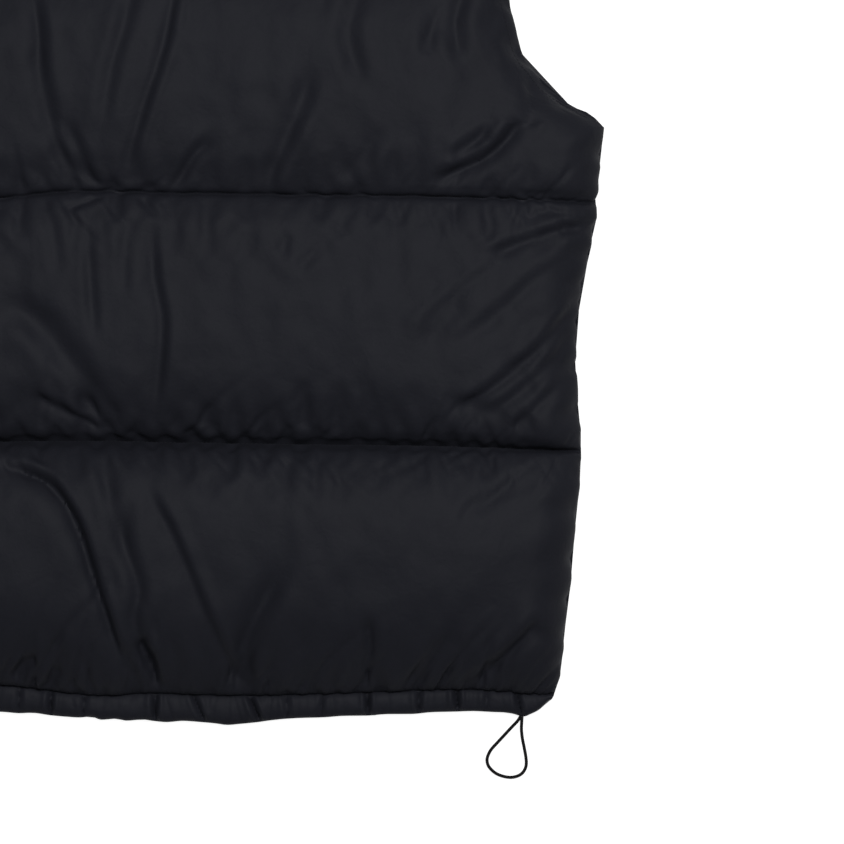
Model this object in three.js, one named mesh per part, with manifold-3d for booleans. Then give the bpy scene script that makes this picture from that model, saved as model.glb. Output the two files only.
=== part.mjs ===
// A padded, quilted vest laid flat on its front, so its back is up. Millimetres, +Z up.
// It lies on the plane z = 0. +Y runs from the hem to the neck and +X to the wearer's right.
// Heights along the vest, called y, are counted from the lowest point of the hem. At the end the
// whole vest is moved so that the origin is the bottom centre of its box, drawcord left aside.

import * as THREE from "three";
import { mergeVertices } from "three/addons/utils/BufferGeometryUtils.js";
import Module from "manifold-3d";

// Driving dimensions of the cut
const SEAM_GAP = 0.3;
const CENTRE_FRONT_X = 8;
const COLLAR_HALF_WIDTH = 85;
const BACK_NECK_Y = 697;
const FRONT_NECK_Y = 640;
const SHOULDER_NECK_Y = 715;
const SHOULDER_TIP_Y = 688;
const SHOULDER_TIP_X = 232;
const ARMPIT_Y = 448.5;
const COLLAR_HEIGHT = 75;

// Padding: wall thickness where it is sewn, and how far each row of padding rises above that
const EDGE_WALL = 3;
const SEAM_WALL = 6;
const CENTRE_FRONT_WALL = 6;
const BACK_LOFT = 27;
const FRONT_LOFT = 24;
const HEM_LOFT = 3;
const COLLAR_BACK_LOFT = 8;
const COLLAR_FRONT_LOFT = 11;
const SIDE_REACH = 62;
const CENTRE_REACH = 34;

// Grid density of the panels
const HALF_COLUMNS = 28;
const INNER_COLUMN_STEP = 7;
const QUILT_ROWS = [9, 9, 9, 7];
const HEM_ROWS = [5];

// Half width of the vest, from the corner of the hem up the side seam to the armpit
const SIDE_SEAM = [
  { y: 19, x: 255.5 },
  { y: 34.5, x: 260.3 },
  { y: 64.5, x: 264 },
  { y: 94.5, x: 267 },
  { y: 124.5, x: 269.3 },
  { y: 154.5, x: 272 },
  { y: 184.5, x: 275.3 },
  { y: 214.5, x: 276.8 },
  { y: 259.5, x: 273.2 },
  { y: 297, x: 274.5 },
  { y: 334.5, x: 279.5 },
  { y: 364.5, x: 285.5 },
  { y: 394.5, x: 288.5 },
  { y: 424.5, x: 291 },
  { y: ARMPIT_Y, x: 294.8 },
];

// Half width at the armhole's edge, from the armpit up to the shoulder
const ARMHOLE = [
  { y: ARMPIT_Y, x: 294.8 },
  { y: 454.5, x: 289.5 },
  { y: 469.5, x: 263.3 },
  { y: 484.5, x: 246.8 },
  { y: 499.5, x: 235.5 },
  { y: 514.5, x: 230.3 },
  { y: 529.5, x: 226.5 },
  { y: 544.5, x: 223.5 },
  { y: 585, x: 221.5 },
  { y: 640, x: 224.5 },
  { y: SHOULDER_TIP_Y, x: SHOULDER_TIP_X },
];
const FRONT_ARMHOLE_SCOOP = 9;

// The hem casing: its lower edge and the seam that joins it to the panels above
const HEM_LINE = [
  { x: -262, bottom: 20, seam: 23 },
  { x: -254, bottom: 18.6, seam: 23.5 },
  { x: -244, bottom: 12.2, seam: 25 },
  { x: -228, bottom: 9.6, seam: 26.5 },
  { x: -190, bottom: 10.4, seam: 29.2 },
  { x: -158, bottom: 9.8, seam: 30.4 },
  { x: -121, bottom: 7.2, seam: 28.3 },
  { x: -83, bottom: 3.9, seam: 22.2 },
  { x: -44, bottom: 3, seam: 24.2 },
  { x: -8, bottom: 2.1, seam: 23.2 },
  { x: 12, bottom: 0, seam: 22.7 },
  { x: 34, bottom: 2, seam: 22.8 },
  { x: 67, bottom: 5.2, seam: 23.6 },
  { x: 117, bottom: 7, seam: 25 },
  { x: 183, bottom: 10, seam: 27.4 },
  { x: 222, bottom: 9.3, seam: 25.8 },
  { x: 234.5, bottom: 6.3, seam: 24.6 },
  { x: 246, bottom: 11.3, seam: 23.4 },
  { x: 254, bottom: 18.6, seam: 22.8 },
  { x: 262, bottom: 20, seam: 23 },
];

// The quilt seams across the panels, lowest first
const QUILT_SEAMS = [
  [
    { x: -300, y: 206 },
    { x: -158, y: 213.4 },
    { x: -98, y: 213.8 },
    { x: 0, y: 212.2 },
    { x: 158, y: 210 },
    { x: 262, y: 207 },
    { x: 300, y: 205.5 },
  ],
  [
    { x: -300, y: 390.5 },
    { x: -158, y: 395 },
    { x: -98, y: 400 },
    { x: -8, y: 398.2 },
    { x: 158, y: 396 },
    { x: 284, y: 391.5 },
    { x: 300, y: 390.5 },
  ],
  [
    { x: -300, y: 575 },
    { x: -120, y: 581 },
    { x: 0, y: 583 },
    { x: 130, y: 580.5 },
    { x: 300, y: 575 },
  ],
];

// Height above the ground of the plane in which the back lies on the fronts
const MEETING_HEIGHT = [
  { y: 0, z: 5.4 },
  { y: 24, z: 6.6 },
  { y: 60, z: 12 },
  { y: 100, z: 16.4 },
  { y: 150, z: 18 },
  { y: 560, z: 18 },
  { y: 640, z: 16.6 },
  { y: 700, z: 14.6 },
  { y: 800, z: 12.6 },
];

// The cloth puckers along every quilt seam, less and less away from it
const PUCKER = { pitch: 33, depth: 2.6, reach: 0.16, sway: 1.7, swayLength: 53 };

// Folds pressed into the back. Each runs through its points and fades out at both ends.
const BACK_FOLDS = [
  { through: [[-158, 198], [-136, 194], [-113, 183], [-94, 140], [-78, 87], [-66, 44]], width: 9, depth: 6 },
  { through: [[-46, 187], [-20, 136], [3, 83], [14, 46]], width: 9, depth: 3 },
  { through: [[-53, 68], [-38, 27]], width: 8, depth: 5 },
  { through: [[40, 98], [26, 61], [23, 27]], width: 8, depth: 5 },
  { through: [[119, 80], [116, 27]], width: 8, depth: 4 },
  { through: [[243, 80], [187, 31]], width: 8, depth: 5 },
  { through: [[-147, 312], [-110, 274], [-80, 226]], width: 9, depth: 4 },
  { through: [[-132, 248], [-83, 218]], width: 8, depth: 5 },
  { through: [[-42, 372], [-35, 304], [-40, 226]], width: 9, depth: 3 },
  { through: [[-91, 383], [-91, 312]], width: 8, depth: 2.5 },
  { through: [[273, 316], [217, 256]], width: 9, depth: 4 },
  { through: [[273, 286], [232, 244], [209, 222]], width: 9, depth: 3 },
  { through: [[284, 376], [239, 357]], width: 8, depth: 3 },
  { through: [[232, 451], [194, 413], [164, 402]], width: 9, depth: 5 },
  { through: [[236, 510], [240, 456]], width: 8, depth: 4 },
  { through: [[217, 458], [164, 421]], width: 9, depth: 4 },
  { through: [[-131, 560], [-124, 496], [-113, 432], [-83, 406]], width: 10, depth: 3 },
  { through: [[-46, 470], [-59, 406]], width: 9, depth: 3 },
  { through: [[22, 560], [-1, 436], [-20, 410]], width: 10, depth: 3 },
  { through: [[71, 477], [44, 406]], width: 9, depth: 3 },
  { through: [[-236, 508], [-238, 455], [-196, 414]], width: 9, depth: 5 },
  { through: [[-275, 322], [-221, 262]], width: 9, depth: 4 },
  { through: [[-268, 262], [-208, 224]], width: 9, depth: 4 },
  { through: [[-240, 92], [-196, 32]], width: 8, depth: 5 },
  { through: [[-150, 650], [-168, 590]], width: 9, depth: 3 },
  { through: [[140, 655], [158, 590]], width: 9, depth: 3 },
];

// Folds of the front panels, given for the wearer's right one and mirrored for the other
const FRONT_FOLDS = [
  { through: [[12, 330], [60, 262], [84, 222]], width: 9, depth: 5 },
  { through: [[40, 150], [66, 90], [74, 40]], width: 9, depth: 5 },
  { through: [[270, 320], [214, 262]], width: 9, depth: 5 },
  { through: [[232, 470], [180, 412]], width: 9, depth: 5 },
  { through: [[180, 600], [150, 540], [146, 500]], width: 9, depth: 4 },
];

// Gathers of the hem casing, where the elastic draws it in
const HEM_GATHERS = [
  { x: -238, depth: 1.4 },
  { x: -205, depth: 1.2 },
  { x: -170, depth: 1.6 },
  { x: -122, depth: 1.5 },
  { x: -95, depth: 0.8 },
  { x: -42, depth: 1.8 },
  { x: -12, depth: 1.4 },
  { x: 29, depth: 1.6 },
  { x: 62, depth: 0.9 },
  { x: 116, depth: 1.8 },
  { x: 155, depth: 0.9 },
  { x: 184, depth: 1.8 },
  { x: 232, depth: 1.4 },
];
const GATHER_WIDTH = 6;

// Drawcord: a loop of elastic, one end out of the back casing and one out of the front one
const CORD_DIAMETER = 2.5;
const CORD_SIDES = 8;
const CORD_STEPS = 46;
const CORD_ROUTE = [
  { x: 232.6, y: 6.2, z: 3.6 },
  { x: 230.4, y: 2.8, z: 3 },
  { x: 225.8, y: -2.2, z: 1.7 },
  { x: 220.1, y: -8.4, z: 1.3 },
  { x: 214.8, y: -14.1, z: 1.3 },
  { x: 210.5, y: -18.9, z: 1.3 },
  { x: 208.1, y: -23.3, z: 1.3 },
  { x: 207.3, y: -27, z: 1.3 },
  { x: 208.2, y: -31, z: 1.3 },
  { x: 211, y: -34.6, z: 1.3 },
  { x: 214.8, y: -37.4, z: 1.3 },
  { x: 219.6, y: -39.2, z: 1.3 },
  { x: 224.9, y: -40, z: 1.3 },
  { x: 229.7, y: -39.2, z: 1.3 },
  { x: 233.5, y: -37.1, z: 1.3 },
  { x: 235.9, y: -33.8, z: 1.3 },
  { x: 236.9, y: -29.9, z: 1.3 },
  { x: 236.6, y: -24.7, z: 1.3 },
  { x: 235.4, y: -17.9, z: 1.4 },
  { x: 233.9, y: -10.3, z: 2.2 },
  { x: 233.2, y: -3.6, z: 4.1 },
  { x: 233.3, y: 1.6, z: 6 },
  { x: 233.5, y: 6.2, z: 6.9 },
];

// Front zip
const ZIP_DROP = 3.6;
const ZIP_LOWEST = 2.2;
const TAPE_THICKNESS = 1.2;
const ZIP_BOTTOM_Y = 12.5;
const ZIP_TOP_Y = 710;
const TAPE_ROWS = 34;
const ZIP_BOX = { width: 8, length: 8, height: 3.6, y: 8 };
const SLIDER = { y: 696, width: 8, length: 12, plate: 1.2, mouth: 3.4, postWidth: 2.6, postLength: 3 };
const BRIDGE = { width: 2, opening: 3.4, leg: 1.2, rise: 2.6, bar: 1.2 };
const PULL = { length: 24, halfWidth: 3.1, thickness: 1.4, eyeHalfWidth: 1.7, eyeEnd: 4.6, gap: 0.5 };

const shellCloth = new THREE.MeshStandardMaterial({ color: 0x212229, roughness: 0.82, metalness: 0 });
const zipCloth = new THREE.MeshStandardMaterial({ color: 0x18191d, roughness: 0.9, metalness: 0 });
const zipMetal = new THREE.MeshStandardMaterial({ color: 0x232326, roughness: 0.4, metalness: 0.8 });
const elastic = new THREE.MeshStandardMaterial({ color: 0x111114, roughness: 0.75, metalness: 0 });

const clamp01 = (value) => Math.min(1, Math.max(0, value));
const mix = (from, to, share) => from + (to - from) * share;

// A smooth curve through a table's rows that never overshoots them
function curveThrough(rows, key, column) {
  const slopes = rows.slice(1).map((row, i) => (row[column] - rows[i][column]) / (row[key] - rows[i][key]));
  const tangents = rows.map((row, i) => {
    const before = slopes[Math.max(0, i - 1)];
    const after = slopes[Math.min(slopes.length - 1, i)];
    return before * after <= 0 ? 0 : (2 * before * after) / (before + after);
  });
  return (at) => {
    const last = rows.length - 2;
    const found = rows.findIndex((row, i) => i > 0 && at <= row[key]) - 1;
    const i = found < 0 ? (at <= rows[0][key] ? 0 : last) : found;
    const span = rows[i + 1][key] - rows[i][key];
    const t = clamp01((at - rows[i][key]) / span);
    const h10 = t * (1 - t) * (1 - t) * span * tangents[i];
    const h11 = -t * t * (1 - t) * span * tangents[i + 1];
    const ease = t * t * (3 - 2 * t);
    return mix(rows[i][column], rows[i + 1][column], ease) + h10 + h11;
  };
}

const sideSeamX = curveThrough(SIDE_SEAM, "y", "x");
const armholeX = curveThrough(ARMHOLE, "y", "x");
const hemBottomY = curveThrough(HEM_LINE, "x", "bottom");
const hemSeamY = curveThrough(HEM_LINE, "x", "seam");
const quiltSeamY = QUILT_SEAMS.map((rows) => curveThrough(rows, "x", "y"));
const meetingZ = curveThrough(MEETING_HEIGHT, "y", "z");

const backHalfWidth = (y) => (y <= ARMPIT_Y ? sideSeamX(y) : armholeX(y));

// The front armhole is cut deeper than the back one, most of all halfway up
function frontHalfWidth(y) {
  const up = clamp01((y - ARMPIT_Y) / (SHOULDER_TIP_Y - ARMPIT_Y));
  return backHalfWidth(y) - FRONT_ARMHOLE_SCOOP * Math.sin(Math.PI * up);
}

const backNeckY = (x) => mix(BACK_NECK_Y, SHOULDER_NECK_Y, clamp01(Math.abs(x) / COLLAR_HALF_WIDTH) ** 2);
const frontNeckY = (x) => mix(FRONT_NECK_Y, SHOULDER_NECK_Y, clamp01(Math.abs(x) / COLLAR_HALF_WIDTH) ** 2.3);

// The upper edge of a panel: its neckline, then the shoulder seam down to the shoulder tip
function upperEdge(neckY) {
  return (x) => {
    const beyond = Math.abs(x) - COLLAR_HALF_WIDTH;
    const slope = (SHOULDER_TIP_Y - SHOULDER_NECK_Y) / (SHOULDER_TIP_X - COLLAR_HALF_WIDTH);
    return (beyond > 0 ? SHOULDER_NECK_Y + slope * beyond : neckY(x)) - SEAM_GAP / 2;
  };
}

// Cross-section of one row of padding, steep at both seams and round on top
const quiltBulge = (across) => (1 - Math.abs(2 * across - 1) ** 2.3) ** 0.8;
// Roundness of the padding towards an outer edge, from 0 on the edge to 1 inside
const edgeRise = (distance, reach) => (1 - (1 - clamp01(distance / reach)) ** 2.2) ** 0.8;

function distanceToSegment(x, y, a, b) {
  const dx = b[0] - a[0];
  const dy = b[1] - a[1];
  const along = clamp01(((x - a[0]) * dx + (y - a[1]) * dy) / (dx * dx + dy * dy));
  return { distance: Math.hypot(x - a[0] - along * dx, y - a[1] - along * dy), along };
}

// The side seam and armhole as a line of points, for the distance of a point from that edge
function outlineOf(halfWidth) {
  const step = 7.5;
  const heights = [...Array(Math.round(700 / step)).keys()].map((i) => i * step);
  return [...heights.filter((y) => y < ARMPIT_Y - 2), ARMPIT_Y, ...heights.filter((y) => y > ARMPIT_Y + 2)]
    .map((y) => [halfWidth(y), y]);
}

function edgeDistance(outline, x, y) {
  const near = outline.slice(1).map((point, i) => distanceToSegment(Math.abs(x), y, outline[i], point).distance);
  return Math.min(...near);
}

// How deep all the folds press the padding in at one point
function foldDepth(folds, x, y) {
  return folds.reduce((sum, { through, width, depth }) => {
    let nearest = { distance: Infinity, at: 0 };
    for (let i = 0; i < through.length - 1; i += 1) {
      const hit = distanceToSegment(x, y, through[i], through[i + 1]);
      if (hit.distance < nearest.distance) {
        nearest = { distance: hit.distance, at: (i + hit.along) / (through.length - 1) };
      }
    }
    const fade = clamp01(nearest.at * 5 + 0.35) * clamp01((1 - nearest.at) * 5 + 0.35);
    return sum + depth * fade * Math.exp(-((nearest.distance / width) ** 2));
  }, 0);
}

// Fractions of the way across a row of padding, close together near both seams
function rowFractions(count) {
  return [...Array(count + 1).keys()].map((i) => mix(i / count, (1 - Math.cos((Math.PI * i) / count)) / 2, 0.7));
}

// Every row of a panel: the quilt row k it is in and how far across that it lies. The row nearest
// to the armpit is moved onto it, so that the corner of the outline is kept.
function panelRows(counts, boundaries, halfWidth) {
  const rows = [];
  counts.forEach((count, k) => {
    const low = boundaries[k](halfWidth(ARMPIT_Y));
    const high = boundaries[k + 1](halfWidth(ARMPIT_Y));
    const armpit = (ARMPIT_Y - low) / (high - low);
    const across = rowFractions(count);
    if (armpit > 0 && armpit < 1) {
      const gaps = across.map((f) => Math.abs(f - armpit));
      across[gaps.indexOf(Math.min(...gaps))] = armpit;
    }
    across.slice(k === 0 ? 0 : 1).forEach((f) => rows.push({ k, f }));
  });
  return rows;
}

// X positions from the centre front out to the side edge, closer together at the edge
function halfColumns(edgeX) {
  const sign = Math.sign(edgeX);
  return [...Array(HALF_COLUMNS + 1).keys()].map((i) => {
    const t = i / HALF_COLUMNS;
    const share = t + 0.09 * Math.sin(Math.PI * t);
    return sign * mix(CENTRE_FRONT_X, Math.abs(edgeX), share);
  });
}

const COLUMNS = {
  whole: (left, right) => [...halfColumns(left).reverse(), 0, ...halfColumns(right)],
  left: (left) => halfColumns(left).reverse(),
  right: (left, right) => halfColumns(right),
};

// Whether the plain inner face keeps a column. It keeps every one on its two borders.
const onInnerStep = (i) => i % INNER_COLUMN_STEP === 0;
const INNER_COLUMNS = {
  whole: (i) => (i <= HALF_COLUMNS ? onInnerStep(i) : i > HALF_COLUMNS + 1 && onInnerStep(i - HALF_COLUMNS - 2)),
  left: onInnerStep,
  right: onInnerStep,
};

// Where a row's line meets the side edge on one side, found by repeated substitution
function edgeCrossing(rowY, halfWidth, sign) {
  let x = sign * halfWidth(rowY(sign * COLLAR_HALF_WIDTH));
  for (let i = 0; i < 12; i += 1) {
    x = sign * halfWidth(rowY(x));
  }
  return x;
}

// Triangles between two lines of vertices that run the same way, the first one on the right-hand
// side. The lines may have different numbers of points.
function strip(positions, first, second) {
  const point = (id) => new THREE.Vector3(...positions.slice(3 * id, 3 * id + 3));
  const shares = (line) => {
    const lengths = [0];
    line.slice(1).forEach((id, i) => lengths.push(lengths[i] + point(id).distanceTo(point(line[i]))));
    return lengths.map((length) => length / lengths[lengths.length - 1]);
  };
  const [firstShares, secondShares] = [shares(first), shares(second)];
  const tie = 0.002;
  const triangles = [];
  let i = 0;
  let k = 0;
  while (i < first.length - 1 || k < second.length - 1) {
    const firstNext = i < first.length - 1 ? firstShares[i + 1] : Infinity;
    const secondNext = k < second.length - 1 ? secondShares[k + 1] : Infinity;
    if (firstNext <= secondNext + tie) {
      triangles.push(first[i], first[i + 1], second[k]);
      i += 1;
    } else {
      triangles.push(first[i], second[k + 1], second[k]);
      k += 1;
    }
  }
  return triangles;
}

// Closes two faces into one wall. Each is given as rows of points, as many rows in both.
function wallGeometry(outer, inner) {
  const positions = [];
  const place = (grid) => grid.map((row) => row.map((p) => positions.push(p[0], p[1], p[2]) / 3 - 1));
  const border = (ids) => {
    const last = ids.length - 1;
    const right = ids.map((row) => row[row.length - 1]);
    const left = ids.map((row) => row[0]).reverse();
    return [ids[0], right, [...ids[last]].reverse(), left];
  };
  const outerIds = place(outer);
  const innerIds = place(inner);
  const triangles = [];
  for (let j = 0; j < outerIds.length - 1; j += 1) {
    triangles.push(...strip(positions, outerIds[j], outerIds[j + 1]));
    triangles.push(...strip(positions, innerIds[j], innerIds[j + 1]).reverse());
  }
  const innerBorder = border(innerIds);
  border(outerIds).forEach((line, i) => triangles.push(...strip(positions, innerBorder[i], line)));
  return closedGeometry(positions, triangles);
}

// A geometry from positions and triangles, turned round if its faces point inwards
function closedGeometry(positions, triangles) {
  const corner = (i) => new THREE.Vector3(positions[3 * i], positions[3 * i + 1], positions[3 * i + 2]);
  let volume = 0;
  for (let t = 0; t < triangles.length; t += 3) {
    volume += corner(triangles[t]).dot(corner(triangles[t + 1]).cross(corner(triangles[t + 2])));
  }
  const order = volume > 0 ? triangles : [...triangles].reverse();
  const geometry = new THREE.BufferGeometry();
  geometry.setAttribute("position", new THREE.Float32BufferAttribute(positions, 3));
  geometry.setIndex(order);
  geometry.computeVertexNormals();
  return geometry;
}

// A panel of the vest. Its boundaries are lines y(x), lowest first, with its quilt seams between.
// side is +1 where the outer face is up and -1 where it lies on the ground, and height gives the
// wall's thickness at a point.
function panelMesh(name, { boundaries, counts, halfWidth, part, side, height }) {
  const rows = panelRows(counts, boundaries, halfWidth);
  const outer = [];
  const inner = [];
  rows.forEach(({ k, f }, j) => {
    const onBorder = j === 0 || j === rows.length - 1;
    const rowY = (x) => mix(boundaries[k](x), boundaries[k + 1](x), f);
    const columns = COLUMNS[part](edgeCrossing(rowY, halfWidth, -1), edgeCrossing(rowY, halfWidth, 1));
    const innerZ = (x) => meetingZ(rowY(x)) + (side * SEAM_GAP) / 2;
    outer.push(columns.map((x) => [x, rowY(x), Math.max(0, innerZ(x) + side * height(x, rowY(x), f))]));
    const innerColumns = columns.filter((x, i) => onBorder || INNER_COLUMNS[part](i));
    inner.push(innerColumns.map((x) => [x, rowY(x), innerZ(x)]));
  });
  return namedMesh(name, wallGeometry(outer, inner), shellCloth);
}

function namedMesh(name, geometry, material) {
  const mesh = new THREE.Mesh(geometry, material);
  mesh.name = name;
  return mesh;
}

// How deep the puckers of a quilt seam are at a point that lies f of the way across its row
function puckerDepth(x, f) {
  const nearSeam = Math.min(f, 1 - f) / PUCKER.reach;
  const phase = (2 * Math.PI * x) / PUCKER.pitch + PUCKER.sway * Math.sin(x / PUCKER.swayLength) + (f > 0.5 ? 2 : 0);
  return PUCKER.depth * nearSeam * Math.exp(1 - nearSeam) * (0.5 + 0.5 * Math.sin(phase));
}

const panelBoundaries = (neckY) => [(x) => hemSeamY(x) + SEAM_GAP / 2, ...quiltSeamY, upperEdge(neckY)];

function backPanel() {
  const outline = outlineOf(backHalfWidth);
  const height = (x, y, f) => {
    const rise = edgeRise(edgeDistance(outline, x, y), SIDE_REACH);
    const padding = mix(EDGE_WALL, SEAM_WALL, rise) + BACK_LOFT * rise * quiltBulge(f);
    return Math.max(EDGE_WALL, padding - (foldDepth(BACK_FOLDS, x, y) + puckerDepth(x, f)) * rise);
  };
  const cut = { boundaries: panelBoundaries(backNeckY), counts: QUILT_ROWS, halfWidth: backHalfWidth };
  return panelMesh("back", { ...cut, part: "whole", side: 1, height });
}

function frontPanel(part) {
  const outline = outlineOf(frontHalfWidth);
  const height = (x, y, f) => {
    const rise = edgeRise(edgeDistance(outline, x, y), SIDE_REACH);
    const centreRise = edgeRise(Math.abs(x) - CENTRE_FRONT_X, CENTRE_REACH);
    const wall = mix(EDGE_WALL, SEAM_WALL, rise);
    const folds = foldDepth(FRONT_FOLDS, Math.abs(x), y) + puckerDepth(x, f);
    return Math.max(wall, wall + (FRONT_LOFT * quiltBulge(f) - folds) * rise * centreRise);
  };
  const cut = { boundaries: panelBoundaries(frontNeckY), counts: QUILT_ROWS, halfWidth: frontHalfWidth };
  return panelMesh(`front_${part}`, { ...cut, part, side: -1, height });
}

// The hem casing, pinched in where the elastic gathers it
function hemCasing(name, part, side) {
  const boundaries = [hemBottomY, (x) => hemSeamY(x) - SEAM_GAP / 2];
  const height = (x, y, f) => {
    const pinch = HEM_GATHERS.reduce((sum, g) => sum + g.depth * Math.exp(-(((x - g.x) / GATHER_WIDTH) ** 2)), 0);
    return EDGE_WALL + Math.max(0, HEM_LOFT - pinch) * quiltBulge(f);
  };
  return panelMesh(name, { boundaries, counts: HEM_ROWS, halfWidth: sideSeamX, part, side, height });
}

// The stand-up collar, one padded wall pressed flat: front half, fold, back, fold, front half
function collar() {
  const frontSteps = 9;
  const foldSteps = 6;
  const backSteps = 20;
  const foldX = COLLAR_HALF_WIDTH + 1;
  const openFold = 1.2;
  const foldReach = 22;
  const stations = [];
  for (let i = 0; i < frontSteps; i += 1) {
    stations.push({ x: mix(-CENTRE_FRONT_X, -foldX, i / frontSteps), turn: -Math.PI / 2, neckY: frontNeckY });
  }
  for (let i = 0; i < foldSteps; i += 1) {
    stations.push({ x: -foldX, turn: -Math.PI / 2 - (Math.PI * i) / foldSteps, neckY: backNeckY });
  }
  for (let i = 0; i <= backSteps; i += 1) {
    stations.push({ x: mix(-foldX, foldX, i / backSteps), turn: Math.PI / 2, neckY: backNeckY });
  }
  for (let i = 1; i <= foldSteps; i += 1) {
    stations.push({ x: foldX, turn: Math.PI / 2 - (Math.PI * i) / foldSteps, neckY: backNeckY });
  }
  for (let i = 1; i <= frontSteps; i += 1) {
    stations.push({ x: mix(foldX, CENTRE_FRONT_X, i / frontSteps), turn: -Math.PI / 2, neckY: frontNeckY });
  }
  const outer = [];
  const inner = [];
  rowFractions(7).forEach((f) => {
    const faces = stations.map(({ x, turn, neckY }) => {
      const y = neckY(x) + SEAM_GAP / 2 + COLLAR_HEIGHT * f;
      const up = (Math.sin(turn) + 1) / 2;
      const nearFold = 1 - clamp01((foldX - Math.abs(x)) / foldReach);
      const half = SEAM_GAP / 2 + openFold * nearFold * nearFold;
      const atFront = edgeRise(Math.abs(x) - CENTRE_FRONT_X, CENTRE_REACH);
      const rise = mix(atFront, 1, Math.round(up));
      const edgeWall = mix(CENTRE_FRONT_WALL, EDGE_WALL, rise);
      const thick = edgeWall + mix(COLLAR_FRONT_LOFT, COLLAR_BACK_LOFT, up) * rise * quiltBulge(f);
      const at = (reach) => {
        const z = meetingZ(y) + Math.sin(turn) * reach;
        return [x + Math.cos(turn) * reach, y, Math.max(0, z)];
      };
      return { inner: at(half), outer: at(half + thick) };
    });
    outer.push(faces.map((face) => face.outer));
    inner.push(faces.map((face) => face.inner));
  });
  return namedMesh("collar", wallGeometry(outer, inner), shellCloth);
}

function drawcord() {
  const section = new THREE.Shape();
  for (let i = 0; i < CORD_SIDES; i += 1) {
    const angle = ((i + 0.5) * 2 * Math.PI) / CORD_SIDES;
    const [x, y] = [(CORD_DIAMETER / 2) * Math.cos(angle), (CORD_DIAMETER / 2) * Math.sin(angle)];
    if (i === 0) {
      section.moveTo(x, y);
    } else {
      section.lineTo(x, y);
    }
  }
  const route = new THREE.CatmullRomCurve3(CORD_ROUTE.map((p) => new THREE.Vector3(p.x, p.y, p.z)), false, "centripetal");
  const tube = new THREE.ExtrudeGeometry(section, { steps: CORD_STEPS, extrudePath: route, bevelEnabled: false });
  return namedMesh("drawcord", tube, elastic);
}

const zipZ = (y) => Math.max(ZIP_LOWEST, meetingZ(y) - ZIP_DROP);

// One half of the zip's tape. Its inner edge steps round the slider's post.
function zipTape(name, sign) {
  const postGap = SEAM_GAP + SLIDER.postWidth / 2;
  const postHalf = SLIDER.postLength / 2 + 2 * SEAM_GAP;
  const ledge = 0.5;
  const heights = [...Array(TAPE_ROWS + 1).keys()].map((i) => mix(ZIP_BOTTOM_Y, ZIP_TOP_Y, i / TAPE_ROWS));
  const post = [-postHalf - ledge, -postHalf, postHalf, postHalf + ledge].map((d) => SLIDER.y + d);
  const all = [...heights.filter((y) => y < post[0] - 1 || y > post[3] + 1), ...post].sort((a, b) => a - b);
  const face = (lift) => all.map((y) => {
    const besidePost = y > post[0] && y < post[3];
    const innerX = besidePost ? postGap : SEAM_GAP / 2;
    const outerX = CENTRE_FRONT_X - SEAM_GAP;
    const z = zipZ(y) + lift;
    return sign > 0 ? [[innerX, y, z], [outerX, y, z]] : [[-outerX, y, z], [-innerX, y, z]];
  });
  return namedMesh(name, wallGeometry(face(TAPE_THICKNESS / 2), face(-TAPE_THICKNESS / 2)), zipCloth);
}

function boxAt(width, length, height, x, y, z) {
  const box = new THREE.BoxGeometry(width, length, height);
  box.translate(x, y, z);
  return box;
}

const wasm = await Module();
wasm.setup();

function toSolid(geometry) {
  const bare = geometry.clone();
  bare.deleteAttribute("normal");
  bare.deleteAttribute("uv");
  const merged = mergeVertices(bare, 1e-4);
  return new wasm.Manifold(new wasm.Mesh({
    numProp: 3,
    vertProperties: Float32Array.from(merged.attributes.position.array),
    triVerts: Uint32Array.from(merged.index.array),
  }));
}

function fromSolid(solid) {
  const { vertProperties, triVerts } = solid.getMesh();
  return closedGeometry([...vertProperties], [...triVerts]);
}

const joined = (pieces) => fromSolid(pieces.map(toSolid).reduce((all, piece) => all.add(piece)));

// The slider: two plates joined by a post between the tapes, with a bridge for the pull's eye
function zipSlider() {
  const z = zipZ(SLIDER.y);
  const plateZ = (SLIDER.mouth + SLIDER.plate) / 2;
  const lowerFace = z - SLIDER.mouth / 2 - SLIDER.plate;
  const legY = (BRIDGE.opening + BRIDGE.leg) / 2;
  const legHeight = BRIDGE.rise + BRIDGE.bar;
  const overlap = 0.2;
  const leg = (y) => boxAt(BRIDGE.width, BRIDGE.leg, legHeight + overlap, 0, y, lowerFace - (legHeight - overlap) / 2);
  const bar = boxAt(BRIDGE.width, BRIDGE.opening + 2 * BRIDGE.leg, BRIDGE.bar, 0, SLIDER.y,
    lowerFace - BRIDGE.rise - BRIDGE.bar / 2);
  const body = joined([
    boxAt(SLIDER.width, SLIDER.length, SLIDER.plate, 0, SLIDER.y, z + plateZ),
    boxAt(SLIDER.width, SLIDER.length, SLIDER.plate, 0, SLIDER.y, z - plateZ),
    boxAt(SLIDER.postWidth, SLIDER.postLength, SLIDER.mouth + 2 * overlap, 0, SLIDER.y, z),
    leg(SLIDER.y - legY),
    leg(SLIDER.y + legY),
    bar,
  ]);
  return namedMesh("zip_slider", body, zipMetal);
}

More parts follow.
